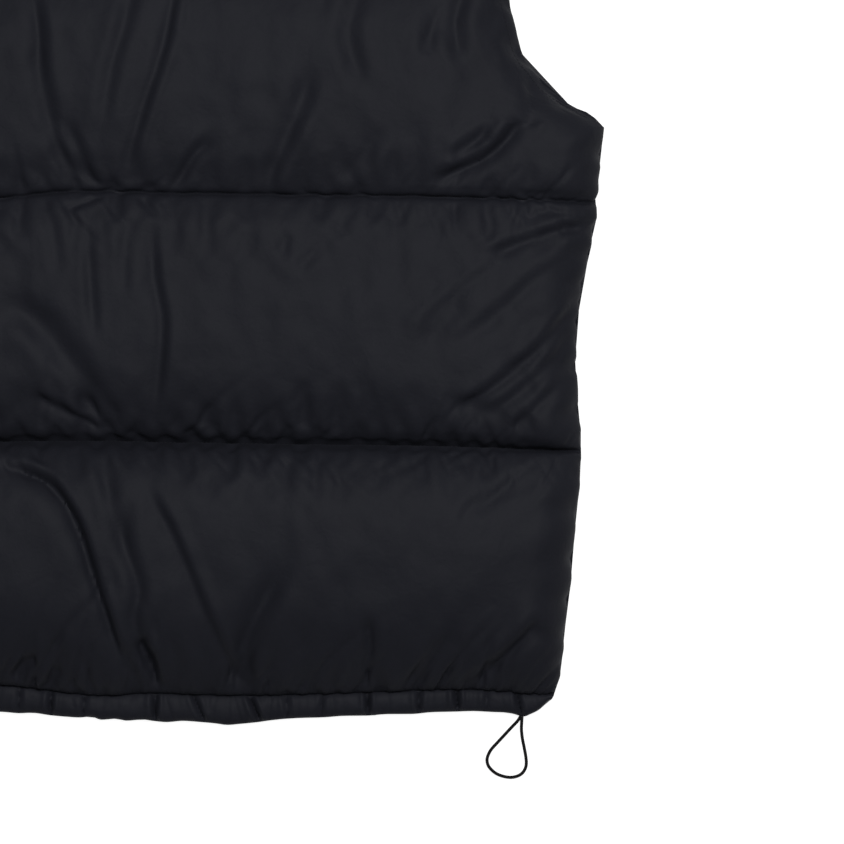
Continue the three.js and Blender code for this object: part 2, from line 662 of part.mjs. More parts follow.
// The pull tab. Its eye turns in the slider's bridge, and its tip hangs just above the ground.
function zipPull() {
  const axisZ = zipZ(SLIDER.y) - SLIDER.mouth / 2 - SLIDER.plate - BRIDGE.rise / 2;
  const half = PULL.thickness / 2;
  const outline = new THREE.Shape();
  outline.moveTo(-PULL.halfWidth, half);
  outline.lineTo(-PULL.halfWidth, -PULL.length + 2);
  outline.lineTo(-PULL.halfWidth + 2, -PULL.length);
  outline.lineTo(PULL.halfWidth - 2, -PULL.length);
  outline.lineTo(PULL.halfWidth, -PULL.length + 2);
  outline.lineTo(PULL.halfWidth, half);
  const eye = new THREE.Path();
  eye.moveTo(-PULL.eyeHalfWidth, -half);
  eye.lineTo(PULL.eyeHalfWidth, -half);
  eye.lineTo(PULL.eyeHalfWidth, -PULL.eyeEnd);
  eye.lineTo(-PULL.eyeHalfWidth, -PULL.eyeEnd);
  outline.holes.push(eye);
  const tab = new THREE.ExtrudeGeometry(outline, { depth: PULL.thickness, bevelEnabled: false });
  tab.translate(0, 0, -half);
  const mesh = namedMesh("zip_pull", tab, zipMetal);
  mesh.position.set(0, SLIDER.y, axisZ);
  mesh.rotation.x = Math.asin((axisZ - half - PULL.gap) / PULL.length);
  return mesh;
}

function zipBox() {
  const z = ZIP_LOWEST;
  return namedMesh("zip_box", boxAt(ZIP_BOX.width, ZIP_BOX.length, ZIP_BOX.height, 0, ZIP_BOX.y, z), zipMetal);
}

const vest = new THREE.Group();
vest.add(
  backPanel(),
  frontPanel("left"),
  frontPanel("right"),
  collar(),
  hemCasing("hem_back", "whole", 1),
  hemCasing("hem_front_left", "left", -1),
  hemCasing("hem_front_right", "right", -1),
  zipTape("zip_tape_left", -1),
  zipTape("zip_tape_right", 1),
  zipBox(),
  zipSlider(),
  zipPull(),
  drawcord(),
);
const vestLength = SHOULDER_NECK_Y + SEAM_GAP / 2 + COLLAR_HEIGHT;
vest.position.y = -vestLength / 2;

const group = new THREE.Group();
group.add(vest);

export default group;
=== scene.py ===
import math

import bpy
import numpy as np
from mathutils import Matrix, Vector


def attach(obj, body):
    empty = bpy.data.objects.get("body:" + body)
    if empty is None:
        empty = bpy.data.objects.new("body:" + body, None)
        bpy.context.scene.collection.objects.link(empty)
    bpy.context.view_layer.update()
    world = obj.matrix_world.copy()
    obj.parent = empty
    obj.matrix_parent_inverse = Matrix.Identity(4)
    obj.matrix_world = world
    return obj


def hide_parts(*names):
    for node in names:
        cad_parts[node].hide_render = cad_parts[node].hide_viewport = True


MM = 0.001
ORIGIN_Y = 395.075        # from the lowest point of the hem to the middle of the frame

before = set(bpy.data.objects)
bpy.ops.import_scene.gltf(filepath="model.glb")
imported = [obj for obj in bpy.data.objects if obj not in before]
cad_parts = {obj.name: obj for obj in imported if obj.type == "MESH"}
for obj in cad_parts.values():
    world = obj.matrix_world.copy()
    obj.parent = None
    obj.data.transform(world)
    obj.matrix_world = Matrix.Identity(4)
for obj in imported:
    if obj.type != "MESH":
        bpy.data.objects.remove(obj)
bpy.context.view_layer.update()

# The camera, as the photograph was taken: straight above, 0.75 mm of cloth to a pixel
PHOTO_WIDTH = 844
MM_PER_PIXEL = 0.75
VIEW_CENTRE = (158.25, 228.0)      # what lies under the middle of the picture
CAMERA_HEIGHT = 3.018
CLOTH_HEIGHT = 0.018
SENSOR_WIDTH = 36


def add_camera():
    data = bpy.data.cameras.new("camera")
    data.sensor_width = SENSOR_WIDTH
    data.lens = SENSOR_WIDTH * (CAMERA_HEIGHT - CLOTH_HEIGHT) / (PHOTO_WIDTH * MM_PER_PIXEL * MM)
    camera = bpy.data.objects.new("camera", data)
    camera.location = (VIEW_CENTRE[0] * MM, (VIEW_CENTRE[1] - ORIGIN_Y) * MM, CAMERA_HEIGHT)
    bpy.context.scene.collection.objects.link(camera)
    bpy.context.scene.camera = camera


add_camera()


def to_frame(points):
    """Points of the tables in metres, in the frame of the part."""
    return (np.asarray(points, float) - (0, ORIGIN_Y, 0)) * MM


def add_mesh(name, vertices, faces, material=None, sharp=50):
    """A smooth mesh from points in metres. Edges sharper than sharp degrees stay sharp."""
    mesh = bpy.data.meshes.new(name)
    mesh.from_pydata(np.asarray(vertices, float).tolist(), [], [list(map(int, face)) for face in faces])
    mesh.polygons.foreach_set("use_smooth", [True] * len(mesh.polygons))
    mesh.set_sharp_from_angle(angle=math.radians(sharp))
    if material:
        mesh.materials.append(material)
    piece = bpy.data.objects.new(name, mesh)
    bpy.context.scene.collection.objects.link(piece)
    return piece


# The drawcord: a loop of braided elastic, both ends in the hem casing
CORD_DIAMETER = 2.5
CORD_BRAID = {"pitch": 2.6, "strands": 8, "relief": 0.09}
CORD_ROUTE = [
    (232.6, 6.2, 3.6),
    (230.4, 2.8, 3.0),
    (225.8, -2.2, 1.7),
    (220.1, -8.4, 1.3),
    (214.8, -14.1, 1.3),
    (210.5, -18.9, 1.3),
    (208.1, -23.3, 1.3),
    (207.3, -27.0, 1.3),
    (208.2, -31.0, 1.3),
    (211.0, -34.6, 1.3),
    (214.8, -37.4, 1.3),
    (219.6, -39.2, 1.3),
    (224.9, -40.0, 1.3),
    (229.7, -39.2, 1.3),
    (233.5, -37.1, 1.3),
    (235.9, -33.8, 1.3),
    (236.9, -29.9, 1.3),
    (236.6, -24.7, 1.3),
    (235.4, -17.9, 1.4),
    (233.9, -10.3, 2.2),
    (233.2, -3.6, 4.1),
    (233.3, 1.6, 6.0),
    (233.5, 6.2, 6.9),
]


def smooth_path(points, steps):
    """A smooth curve through points, with so many steps between two of them."""
    points = np.asarray(points, float)
    ends = np.vstack([2 * points[0] - points[1], points, 2 * points[-1] - points[-2]])
    t = np.arange(steps)[:, None] / steps
    pieces = []
    for a, b, c, d in zip(ends, ends[1:], ends[2:], ends[3:]):
        pieces.append(b + 0.5 * t * (c - a + t * (2 * a - 5 * b + 4 * c - d + t * (3 * (b - c) + d - a))))
    return np.vstack([*pieces, points[-1:]])


def way_along(line):
    """How far along a line each of its points lies."""
    return np.concatenate([[0], np.cumsum(np.linalg.norm(np.diff(line, axis=0), axis=1))])


def ring_faces(rings, sides, first=0):
    """Faces of a closed body whose points, from number first on, are rings of so many sides."""
    faces = []
    for low in range(first, first + (rings - 1) * sides, sides):
        high = low + sides
        faces += [(low + k, low + (k + 1) % sides, high + (k + 1) % sides, high + k) for k in range(sides)]
    last = first + (rings - 1) * sides
    return [*faces, tuple(range(first, first + sides))[::-1], tuple(range(last, last + sides))]


def tube(path, sides, radius_at):
    """Points and faces of a round tube along a path. radius_at(way, angle) is its radius."""
    way = way_along(path)
    ahead = np.gradient(path, axis=0)
    ahead /= np.linalg.norm(ahead, axis=1, keepdims=True)
    across = np.cross(ahead, (0, 0, 1))
    across /= np.linalg.norm(across, axis=1, keepdims=True)
    up = np.cross(across, ahead)
    angle = 2 * math.pi * np.arange(sides) / sides
    radius = radius_at(way[:, None], angle[None, :])[..., None]
    ring = across[:, None] * np.cos(angle)[None, :, None] + up[:, None] * np.sin(angle)[None, :, None]
    points = (path[:, None] + radius * ring).reshape(-1, 3)
    return points, ring_faces(len(path), sides), way[-1]


def braid_radius(way, angle):
    """Radius of a braided cord, whose strands cross over each other both ways round."""
    turn = 2 * math.pi * way / CORD_BRAID["pitch"]
    half = CORD_BRAID["strands"] / 2
    strands = np.cos(half * angle + turn) * np.cos(half * angle - turn)
    return CORD_DIAMETER / 2 - CORD_BRAID["relief"] * (1 - np.abs(strands))


def add_cord():
    path = smooth_path(CORD_ROUTE, 24)
    points, faces, length = tube(path, 20, braid_radius)
    cord = add_mesh("drawcord_braid", to_frame(points), faces, sharp=180)
    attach(cord, "garment")
    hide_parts("drawcord")
    return cord


drawcord = add_cord()

# The cut of the vest. The right edge has the small scallops of its seam, as they lie.
CENTRE_FRONT_X = 8
COLLAR_HALF_WIDTH = 85
BACK_NECK_Y = 697
FRONT_NECK_Y = 640
SHOULDER_NECK_Y = 715
SHOULDER_TIP = (232, 688)
ARMPIT = (294.8, 448.5)
COLLAR_HEIGHT = 75
SEAM_GAP = 0.3
SEAM_LAP = 0.4            # how far panel and casing go into each other where they are sewn together
FRONT_ARMHOLE_SCOOP = 9
SIDE_EDGE = [
    (15.1, 251.6), (19, 255.2), (22.8, 257.4), (29.4, 259.5), (39.2, 262.4), (45.8, 262.4),
    (52, 263.6), (59.6, 264.8), (70.1, 264.4), (77, 265.8), (84.6, 266.5), (93.6, 266.5),
    (103, 269.2), (112.3, 270.5), (118, 270.2), (124.3, 269.4), (134, 271.6), (143.8, 272.7),
    (150.5, 273.3), (155, 273.1), (159.6, 272.2), (171.5, 275.2), (180.8, 276.6), (195.1, 276.6),
    (200.4, 277.5), (208, 277.4), (216.8, 276.5), (221.7, 277.4), (231, 275.7), (236, 274.6),
    (245.2, 275.3), (252.8, 275.1), (264, 274.4), (269, 272.3), (277.6, 274), (292, 273.5),
    (295, 274.4), (303.1, 274), (311.2, 275.8), (320, 275.7), (322.4, 276.9), (331.1, 276.9),
    (338, 280), (351.6, 282.5), (355.4, 282.5), (357.8, 284.6), (366, 285.6), (372.8, 285.3),
    (381.5, 289.3), (388, 289.2), (393.3, 287.8), (402, 290.6), (412, 290.4), (418, 291.8),
    (428, 291.2), (437, 293.3), ARMPIT[::-1],
]
ARMHOLE = [
    ARMPIT[::-1], (450.5, 293.2), (454.5, 287.5), (461, 276), (469.5, 263.3), (477, 253.6),
    (484.5, 246.8), (492, 240.4), (499.5, 235.5), (507, 232.2), (514.5, 230.3), (529.5, 226.5),
    (544.5, 223.5), (585, 221.5), (640, 224.5), SHOULDER_TIP[::-1],
]
HEM_BOTTOM = [
    (-262, 20), (-254, 18.6), (-250, 14.6), (-244, 12.2), (-236, 9.2), (-228, 9.6), (-214, 11),
    (-190, 10.4), (-158, 9.8), (-144, 8.8), (-136, 9.1), (-121, 7.2), (-110, 6.2), (-100, 5.6),
    (-91, 6.2), (-83, 3.9), (-72, 4.6), (-64, 3.2), (-52, 4), (-44, 3), (-34, 2.1), (-22, 3),
    (-8, 2.1), (2, 1.2), (12, 0), (22, 0.8), (34, 2), (44, 3.4), (56, 4.6), (67, 5.2), (84, 5.7),
    (100, 6.8), (117, 7), (132, 8.1), (150, 8.2), (166, 9.6), (183, 10), (196, 10.4), (212, 9.7),
    (222, 9.3), (229, 7.8), (234.5, 6.3), (240.2, 8.3), (246, 11.2), (250, 14.6), (254, 18.4),
    (262, 20),
]
HEM_SEAM = [
    (-262, 23), (-254, 23.5), (-228, 26.5), (-190, 29.2), (-158, 30.6), (-121, 26.4), (-83, 22.6),
    (-44, 24.4), (-8, 23.2), (12, 22.7), (34, 22.8), (67, 23.6), (117, 25), (183, 27.4), (222, 25.8),
    (234.5, 24.6), (262, 23),
]
QUILT_SEAMS = [
    [(-300, 206), (-158, 213.4), (-98, 213.8), (0, 212.2), (158, 210), (262, 207), (300, 205.5)],
    [(-300, 390.5), (-158, 395), (-98, 400), (-8, 398.2), (158, 396), (284, 391.5), (300, 390.5)],
    [(-300, 575), (-120, 581), (0, 583), (130, 580.5), (300, 575)],
]
MEETING_HEIGHT = [
    (0, 5.4), (24, 6.6), (60, 12), (100, 16.4), (150, 18), (560, 18), (640, 16.6), (700, 14.6), (800, 12.6),
]

# Padding: the wall where it is sewn, and over what distances the padding falls towards the side
# seams and towards centre front
EDGE_WALL = 3
LEAST_WALL = 2.2          # what creases leave of it at least
FRONT_LOFT = 0.86         # of the back's
SIDE_REACH = 33
CENTRE_REACH = 34
START_FILL = 0.81         # how full the rows are before the cloth swells
SWELL = {"pressure": 4, "frames": 20, "cap": 3, "from_edge": 70}
SEWN_FLAT = 5             # creases fade out over this distance from a seam
SEAM_WAVER = {"size": 11, "most": 0.25, "reach": 9}    # how far the sewn lines stray from their run

# How the shell finds its wrinkles: first broad ones, then fine ones. The seams gather the cloth
# beside them, so its threads there are longer than the room they have, less and less as far as
# reach. fill is the push of the padding, and stiff how much the cloth resists sharp bends. seed is
# the height of the unevenness that it starts from, and lump the size of its lumps.
SETTLE = [
    {"reach": 34, "excess": 0.032, "anywhere": 0.003, "steps": 40, "fill": 0.012, "stiff": 1.0,
     "seed": 0.7, "lump": 14},
    {"reach": 16, "excess": 0.011, "anywhere": 0.001, "steps": 26, "fill": 0.008, "stiff": 0.8,
     "seed": 0.12, "lump": 6},
]
GATHER_UNEVEN = {"size": 38, "middle": 0.55, "swing": 0.75}    # how unevenly the seams gather the cloth
OVERSHOOT = 1.6
PASSES = 4
KEEP_SPEED = 0.81

# How thick each row of padding is from its lower seam (0) to its upper one (1). The down has
# settled differently in each: the lowest row thins out to the hem, the next is full above its seam.
ROW_PROFILES = [
    [(0, 4), (0.01, 8), (0.04, 12.8), (0.075, 17.4), (0.14, 23.4), (0.24, 29.2), (0.37, 33),
     (0.52, 34.8), (0.66, 35.2), (0.75, 34.6), (0.86, 31.4), (0.915, 27.6), (0.95, 23.6),
     (0.976, 18.8), (0.99, 14), (1, 4.5)],
    [(0, 4.5), (0.008, 10), (0.02, 13.6), (0.04, 16.6), (0.073, 20), (0.105, 23.2), (0.17, 27.4),
     (0.267, 30.6), (0.46, 31.9), (0.65, 31.2), (0.777, 29.4), (0.88, 26.8), (0.94, 24.4),
     (0.972, 22.4), (0.99, 21), (1, 19)],
    [(0, 19), (0.008, 19.4), (0.02, 19.9), (0.049, 21), (0.08, 22.2), (0.147, 25.8), (0.21, 28.2),
     (0.31, 30.6), (0.505, 32.2), (0.717, 31.4), (0.85, 28), (0.93, 23), (0.98, 15.5), (1, 6)],
    [(0, 6), (0.02, 13), (0.08, 19), (0.25, 26), (0.5, 28), (0.75, 24), (0.92, 14.5), (1, 4)],
]

# Towards the sides the rows are full nearly down to their lower seams, the lowest one less so:
# the power of the share, and the share above which it has its whole effect
FULL_LOW = [(-300, 0.6), (-220, 0.64), (-110, 0.92), (20, 0.95), (110, 0.87), (200, 0.64), (300, 0.6)]
FULL_FROM = [0.3, 0.05, 0.05, 0.05]

# How much higher the stitches lie where a seam is less deep. The seams count from the hem.
SEAM_LIFTS = {
    1: [(-300, 1), (40, 0), (130, 2), (200, 5), (300, 5)],
    2: [(-300, 1), (100, 0), (200, 2), (300, 2.5)],
}
LIFT_REACH = 5

BACK_ROWS = [78, 78, 78, 56]
BACK_COLUMNS = 300
FRONT_ROWS = [64, 64, 64, 46]
FRONT_COLUMNS = 110
INNER_STEP = 10           # the hidden inner face keeps every tenth row and column
ROW_CROWDING = 0.6        # how much the rows crowd towards the seams
COLUMN_CROWDING = 0.25    # and the columns towards the side edges


def smooth_curve(rows):
    """A smooth curve through rows of where and value that never overshoots them."""
    at, value = np.array(sorted(rows), float).T
    slope = np.diff(value) / np.diff(at)
    before = np.concatenate([slope[:1], slope])
    after = np.concatenate([slope, slope[-1:]])
    turning = before * after <= 0
    tangent = np.where(turning, 0, 2 * before * after / np.where(turning, 1, before + after))

    def curve(where):
        where = np.clip(where, at[0], at[-1])
        i = np.clip(np.searchsorted(at, where) - 1, 0, len(at) - 2)
        span = at[i + 1] - at[i]
        t = (where - at[i]) / span
        ease = t * t * (3 - 2 * t)
        bend = t * (1 - t) * ((1 - t) * tangent[i] - t * tangent[i + 1]) * span
        return value[i] + (value[i + 1] - value[i]) * ease + bend

    return curve


side_edge_x = smooth_curve(SIDE_EDGE)
armhole_x = smooth_curve(ARMHOLE)
hem_bottom_y = smooth_curve(HEM_BOTTOM)
hem_seam_y = smooth_curve(HEM_SEAM)
meeting_z = smooth_curve(MEETING_HEIGHT)
quilt_seam_y = [smooth_curve(rows) for rows in QUILT_SEAMS]
row_thickness = [smooth_curve(rows) for rows in ROW_PROFILES]


def back_half_width(y):
    return np.where(y <= ARMPIT[1], side_edge_x(y), armhole_x(y))


def front_half_width(y):
    """The front armhole is cut deeper than the back one, most of all halfway up."""
    up = np.clip((y - ARMPIT[1]) / (SHOULDER_TIP[1] - ARMPIT[1]), 0, 1)
    return back_half_width(y) - FRONT_ARMHOLE_SCOOP * np.sin(math.pi * up)


def back_neck_y(x):
    share = np.clip(np.abs(x) / COLLAR_HALF_WIDTH, 0, 1)
    return BACK_NECK_Y + (SHOULDER_NECK_Y - BACK_NECK_Y) * share ** 2


def front_neck_y(x):
    share = np.clip(np.abs(x) / COLLAR_HALF_WIDTH, 0, 1)
    return FRONT_NECK_Y + (SHOULDER_NECK_Y - FRONT_NECK_Y) * share ** 2.3


def upper_edge(neck_y):
    """The upper edge of a panel: its neckline, then the shoulder seam."""
    slope = (SHOULDER_TIP[1] - SHOULDER_NECK_Y) / (SHOULDER_TIP[0] - COLLAR_HALF_WIDTH)

    def edge(x):
        beyond = np.abs(x) - COLLAR_HALF_WIDTH
        return np.where(beyond > 0, SHOULDER_NECK_Y + slope * beyond, neck_y(x)) - SEAM_GAP / 2

    return edge


def panel_boundaries(neck_y):
    return [lambda x: hem_seam_y(x) - SEAM_LAP, *quilt_seam_y, upper_edge(neck_y)]


def quilt_bulge(across):
    """Cross-section of a plain pad, steep at both seams and round on top."""
    return (1 - np.abs(2 * across - 1) ** 2.3) ** 0.7


def edge_rise(distance, reach):
    """Roundness of the padding towards an outer edge, from 0 on the edge to 1 inside."""
    return (1 - (1 - np.clip(distance / reach, 0, 1)) ** 2.2) ** 0.92


def crowded(count, crowding):
    """Shares from 0 to 1, closer together at both ends."""
    t = np.arange(count + 1) / count
    return t - crowding * np.sin(2 * math.pi * t) / (2 * math.pi)


def panel_grid(boundaries, counts, shares, left_x, right_x):
    """A panel as grids of x, y, how far across its quilt row each point lies, and which row that is.
    The lowest line of points comes first. left_x(y) and right_x(y) are its side edges."""
    xs, ys, across, rows = [], [], [], []
    for k, count in enumerate(counts):
        low, high = boundaries[k], boundaries[k + 1]
        fractions = crowded(count, ROW_CROWDING)
        armpit = (ARMPIT[1] - low(ARMPIT[0])) / (high(ARMPIT[0]) - low(ARMPIT[0]))
        if 0 < armpit < 1:
            fractions[np.argmin(np.abs(fractions - armpit))] = armpit
        for f in fractions[0 if k == 0 else 1:]:
            ends = []
            for edge_x, x in ((left_x, -250.0), (right_x, 250.0)):
                for _ in range(12):
                    x = float(edge_x(low(x) + (high(x) - low(x)) * f))
                ends.append(x)
            x = ends[0] + (ends[1] - ends[0]) * shares
            xs.append(x)
            ys.append(low(x) + (high(x) - low(x)) * f)
            across.append(np.full(len(x), f))
            rows.append(np.full(len(x), k))
    return np.array(xs), np.array(ys), np.array(across), np.array(rows)


def edge_distance(x, y, half_width):
    """How far each point is from the side seam and the armhole."""
    at = np.concatenate([np.arange(12, ARMPIT[1], 3), np.arange(ARMPIT[1], 700, 3)])
    edge = half_width(at)
    nearest = np.full(x.shape, 1e9)
    for edge_x, edge_y in zip(edge, at):
        nearest = np.minimum(nearest, (np.abs(x) - edge_x) ** 2 + (y - edge_y) ** 2)
    return np.sqrt(nearest)


def finer(grid):
    """A grid with a new point between every two, on a smooth curve through its neighbours."""
    for axis in (0, 1):
        a = np.moveaxis(grid, axis, 0)
        ends = np.concatenate([2 * a[:1] - a[1:2], a, 2 * a[-1:] - a[-2:-1]])
        out = np.empty((2 * len(a) - 1, *a.shape[1:]))
        out[::2] = a
        out[1::2] = (9 * (a[:-1] + a[1:]) - ends[:-3] - ends[3:]) / 16
        grid = np.moveaxis(out, 0, axis)
    return grid


def softened(grid):
    """A grid of values, each mixed with its neighbours, so that it has nothing finer than the grid."""
    for axis in (0, 1):
        a = np.moveaxis(grid, axis, 0)
        ends = np.concatenate([a[:1], a, a[-1:]])
        grid = np.moveaxis((ends[:-2] + 2 * a + ends[2:]) / 4, 0, axis)
    return grid


def grid_faces(rows, columns, first=0):
    ids = first + np.arange(rows * columns).reshape(rows, columns)
    return np.stack([ids[:-1, :-1], ids[:-1, 1:], ids[1:, 1:], ids[1:, :-1]], -1).reshape(-1, 4)


def folded_faces(points):
    """Triangles of a grid of points, every square cut along the diagonal that follows its folds."""
    rows, columns = points.shape[:2]
    squares = grid_faces(rows, columns)
    corners = points.reshape(-1, 3)[squares]

    def straightness(turn):
        a, b, c, d = (corners[:, (turn + i) % 4] for i in range(4))
        first, second = np.cross(b - a, c - a), np.cross(c - a, d - a)
        lengths = np.linalg.norm(first, axis=1) * np.linalg.norm(second, axis=1)
        return (first * second).sum(axis=1) / np.maximum(lengths, 1e-12)

    turned = (straightness(1) > straightness(0) + 1e-6)[:, None]
    squares = np.where(turned, np.roll(squares, -1, axis=1), squares)
    return np.concatenate([squares[:, [0, 1, 2]], squares[:, [0, 2, 3]]])


def swell(points, sewn):
    """Fills a sheet with padding: Blender's cloth under pressure, held where it is sewn. Gives how
    far every point moves, no further than the cap."""
    rows, columns = points.shape[:2]
    start = to_frame(points).reshape(-1, 3)
    sheet = add_mesh("padding", start, grid_faces(rows, columns))
    held = sheet.vertex_groups.new(name="sewn")
    held.add([int(i) for i in np.flatnonzero(sewn)], 1.0, "REPLACE")
    cloth = sheet.modifiers.new("cloth", "CLOTH")
    cloth.settings.quality = 5
    cloth.settings.mass = 0.3
    cloth.settings.vertex_group_mass = "sewn"
    cloth.settings.use_pressure = True
    cloth.settings.uniform_pressure_force = SWELL["pressure"]
    cloth.settings.effector_weights.gravity = 0
    cloth.collision_settings.use_collision = False
    cloth.point_cache.frame_start = 1
    cloth.point_cache.frame_end = SWELL["frames"]
    for at in range(1, SWELL["frames"] + 1):
        bpy.context.scene.frame_set(at)
    swollen = sheet.evaluated_get(bpy.context.evaluated_depsgraph_get()).data
    after = np.empty(len(swollen.vertices) * 3, np.float32)
    swollen.vertices.foreach_get("co", after)
    bpy.data.objects.remove(sheet)
    bpy.context.scene.frame_set(1)
    moved = (after.reshape(rows, columns, 3) - start.reshape(rows, columns, 3)) / MM
    far = np.linalg.norm(moved, axis=-1, keepdims=True)
    return moved * np.minimum(1, SWELL["cap"] / np.maximum(far, 1e-9))


# Creases of the back that the photograph shows, then similar ones for what it doesn't show. A row
# holds width, depth, height of the lip, lean, sharpness and the points that the crease runs
# through, fading at both ends. lean says on which side its wall is steep and has its lip: on the
# left of its run for 1, on the right for -1, and alike on both for 0. Sharpness is 1 for a crisp fold.
BACK_CREASES = [
    (4.2, 6, 1.6, 1, 1, [(-158, 197), (-134, 192), (-116, 182), (-98, 154), (-84, 112), (-72, 72),
                         (-62, 40)]),
    (5, 2.2, 1.2, 1, 1, [(-48, 186), (-26, 144), (-6, 96), (14, 48), (20, 28)]),
    (7, 2.6, 0.8, 0, 0.5, [(-60, 176), (-62, 141), (-52, 105), (-56, 81), (-44, 48), (-38, 27)]),
    (5, 4.5, 1.4, 1, 1, [(-53, 68), (-46, 50), (-38, 26)]),
    (7, 1.6, 0.5, 0, 0.3, [(-80, 204), (-74, 176), (-64, 120)]),
    (10, 4.5, 1, 1, 0.3, [(58, 124), (34, 81), (24, 48), (22, 24)]),
    (6, 3, 0.8, 0, 0.5, [(118, 84), (119, 60), (118, 26)]),
    (6, 4, 1.4, -1, 0.8, [(246, 81), (226, 60), (190, 28)]),
    (7, 2, 0.8, -1, 0.3, [(184, 76), (166, 52), (146, 28)]),
    (6, 3, 0.8, 0, 0.4, [(-130, 54), (-150, 36)]),
    (5, 2.6, 0.8, 0, 0.6, [(-112, 46), (-124, 27)]),
    (5, 2.4, 0.9, 1, 0.9, [(-42, 376), (-40, 336), (-34, 304), (-36, 264), (-42, 226)]),
    (5, 1.4, 0.4, 0, 0.5, [(-90, 384), (-88, 332), (-84, 288)]),
    (6, 1, 0.3, 0, 0.3, [(-116, 384), (-112, 336)]),
    (6, 1, 0.3, 0, 0.3, [(-64, 372), (-62, 320)]),
    (12, 3, 0.6, 0, 0, [(-158, 316), (-130, 304), (-106, 276), (-88, 246), (-78, 222)]),
    (4.5, 3, 0.9, 1, 0.9, [(-134, 248), (-106, 234), (-76, 216)]),
    (6, 2.4, 0.8, 1, 0.5, [(-98, 248), (-74, 218)]),
    (5, 2.6, 1, -1, 0.7, [(284, 374), (258, 370), (230, 360), (198, 348)]),
    (7, 1.2, 0.7, -1, 0.3, [(284, 362), (250, 340), (212, 306), (176, 280)]),
    (5.5, 2.6, 1.2, -1, 0.7, [(276, 322), (246, 284), (206, 250), (184, 236)]),
    (6, 1.8, 0.9, -1, 0.5, [(272, 298), (244, 262), (204, 230)]),
    (5, 1.6, 0.6, -1, 0.5, [(268, 268), (240, 236), (222, 222)]),
    (6, 1, 0.6, -1, 0.3, [(226, 352), (186, 324), (150, 292)]),
    (9, 1.2, 0.6, -1, 0.2, [(190, 316), (158, 284)]),
    (5, 1, 0.4, 0, 0.4, [(58, 368), (54, 348)]),
    (5, 1, 0.4, 0, 0.4, [(82, 356), (66, 340)]),
    (7, 2.6, 0.8, 1, 0.5, [(-132, 560), (-126, 520), (-124, 484), (-108, 428), (-82, 401)]),
    (6, 2.4, 0.8, 0, 0.5, [(-110, 460), (-92, 420), (-80, 401)]),
    (7, 1.6, 0.5, 0, 0.4, [(-56, 560), (-64, 520), (-72, 492), (-80, 440)]),
    (5, 2.4, 1.2, 1, 0.9, [(-22, 570), (-32, 512), (-46, 468), (-64, 412)]),
    (6, 2.4, 0.8, 0, 0.5, [(2, 440), (-14, 424), (-24, 404)]),
    (8, 2.2, 0.8, 1, 0.4, [(80, 492), (60, 444), (40, 404)]),
    (8, 1.6, 0.6, 1, 0.2, [(130, 448), (100, 408)]),
    (6, 3.6, 1, 0, 0.5, [(242, 484), (240, 466), (237, 446)]),
    (6, 4.5, 1.8, -1, 0.7, [(236, 458), (214, 432), (194, 420), (166, 408)]),
    (6, 2.6, 1, -1, 0.5, [(210, 446), (178, 424)]),
    (4, 2, 0.6, 0, 0.7, [(-78, 397), (-106, 384)]),
    (4, 2, 0.6, 0, 0.7, [(-52, 396), (-38, 378)]),
    (7, 3.6, 1.4, 1, 0.6, [(-286, 372), (-252, 366), (-214, 342)]),
    (7, 4.5, 1.6, 1, 0.7, [(-276, 318), (-254, 282), (-222, 252)]),
    (7, 3.2, 1.2, 1, 0.5, [(-272, 284), (-236, 240), (-206, 224)]),
    (6, 3.4, 1, 0, 0.5, [(-238, 480), (-240, 452)]),
    (6, 4.4, 1.6, 1, 0.7, [(-240, 462), (-212, 430), (-176, 412)]),
    (7, 4.4, 1.4, -1, 0.6, [(-250, 96), (-228, 66), (-196, 32)]),
    (8, 2.6, 0.8, 0, 0.4, [(-190, 150), (-182, 96), (-170, 36)]),
    (7, 1.8, 0.6, 0, 0.5, [(-176, 372), (-170, 300), (-180, 230)]),
    (7, 3, 1, 1, 0.5, [(-150, 672), (-160, 630), (-174, 588)]),
    (7, 3, 1, -1, 0.5, [(142, 674), (150, 636), (166, 588)]),
    (8, 2, 0.6, 0, 0.4, [(-36, 690), (-30, 640), (-44, 590)]),
    (8, 2.2, 0.6, 0, 0.4, [(62, 692), (56, 640), (38, 590)]),
    (7, 3, 1, -1, 0.5, [(216, 664), (196, 626), (184, 590)]),
    (7, 3, 1, 1, 0.5, [(-214, 660), (-198, 628), (-190, 588)]),
    (9, 1.4, 0.5, 0, 0.3, [(118, 566), (104, 520), (112, 480)]),
    (8, 1.8, 0.6, 0, 0.3, [(196, 566), (184, 530), (186, 496)]),
    (8, 1.8, 0.6, 0, 0.3, [(-186, 566), (-176, 520), (-182, 470)]),
]

# Creases of a front panel, for the wearer's right one. The other one has them mirrored and shifted.
FRONT_CREASES = [
    (7, 4, 1.4, 0, 0.6, [(14, 334), (44, 290), (84, 222)]),
    (7, 4, 1.4, 0, 0.6, [(40, 160), (62, 100), (74, 40)]),
    (7, 4, 1.4, -1, 0.6, [(272, 320), (240, 280), (212, 250)]),
    (6, 3, 1, -1, 0.5, [(268, 262), (232, 224)]),
    (6, 4, 1.4, -1, 0.6, [(236, 462), (208, 430), (176, 410)]),
    (7, 3, 1, 0, 0.5, [(182, 604), (154, 550), (146, 500)]),
    (7, 3, 1, 0, 0.5, [(20, 560), (48, 500), (56, 410)]),
    (7, 2.6, 1, 0, 0.5, [(160, 200), (150, 130), (158, 40)]),
    (7, 3.6, 1.2, 1, 0.6, [(250, 90), (224, 60), (200, 32)]),
    (7, 2.4, 0.8, 0, 0.5, [(120, 380), (112, 310), (124, 230)]),
]

CREASE_DEPTH = 1.75
CREASE_ROUND = 1.1        # how round the bottom of a crease is


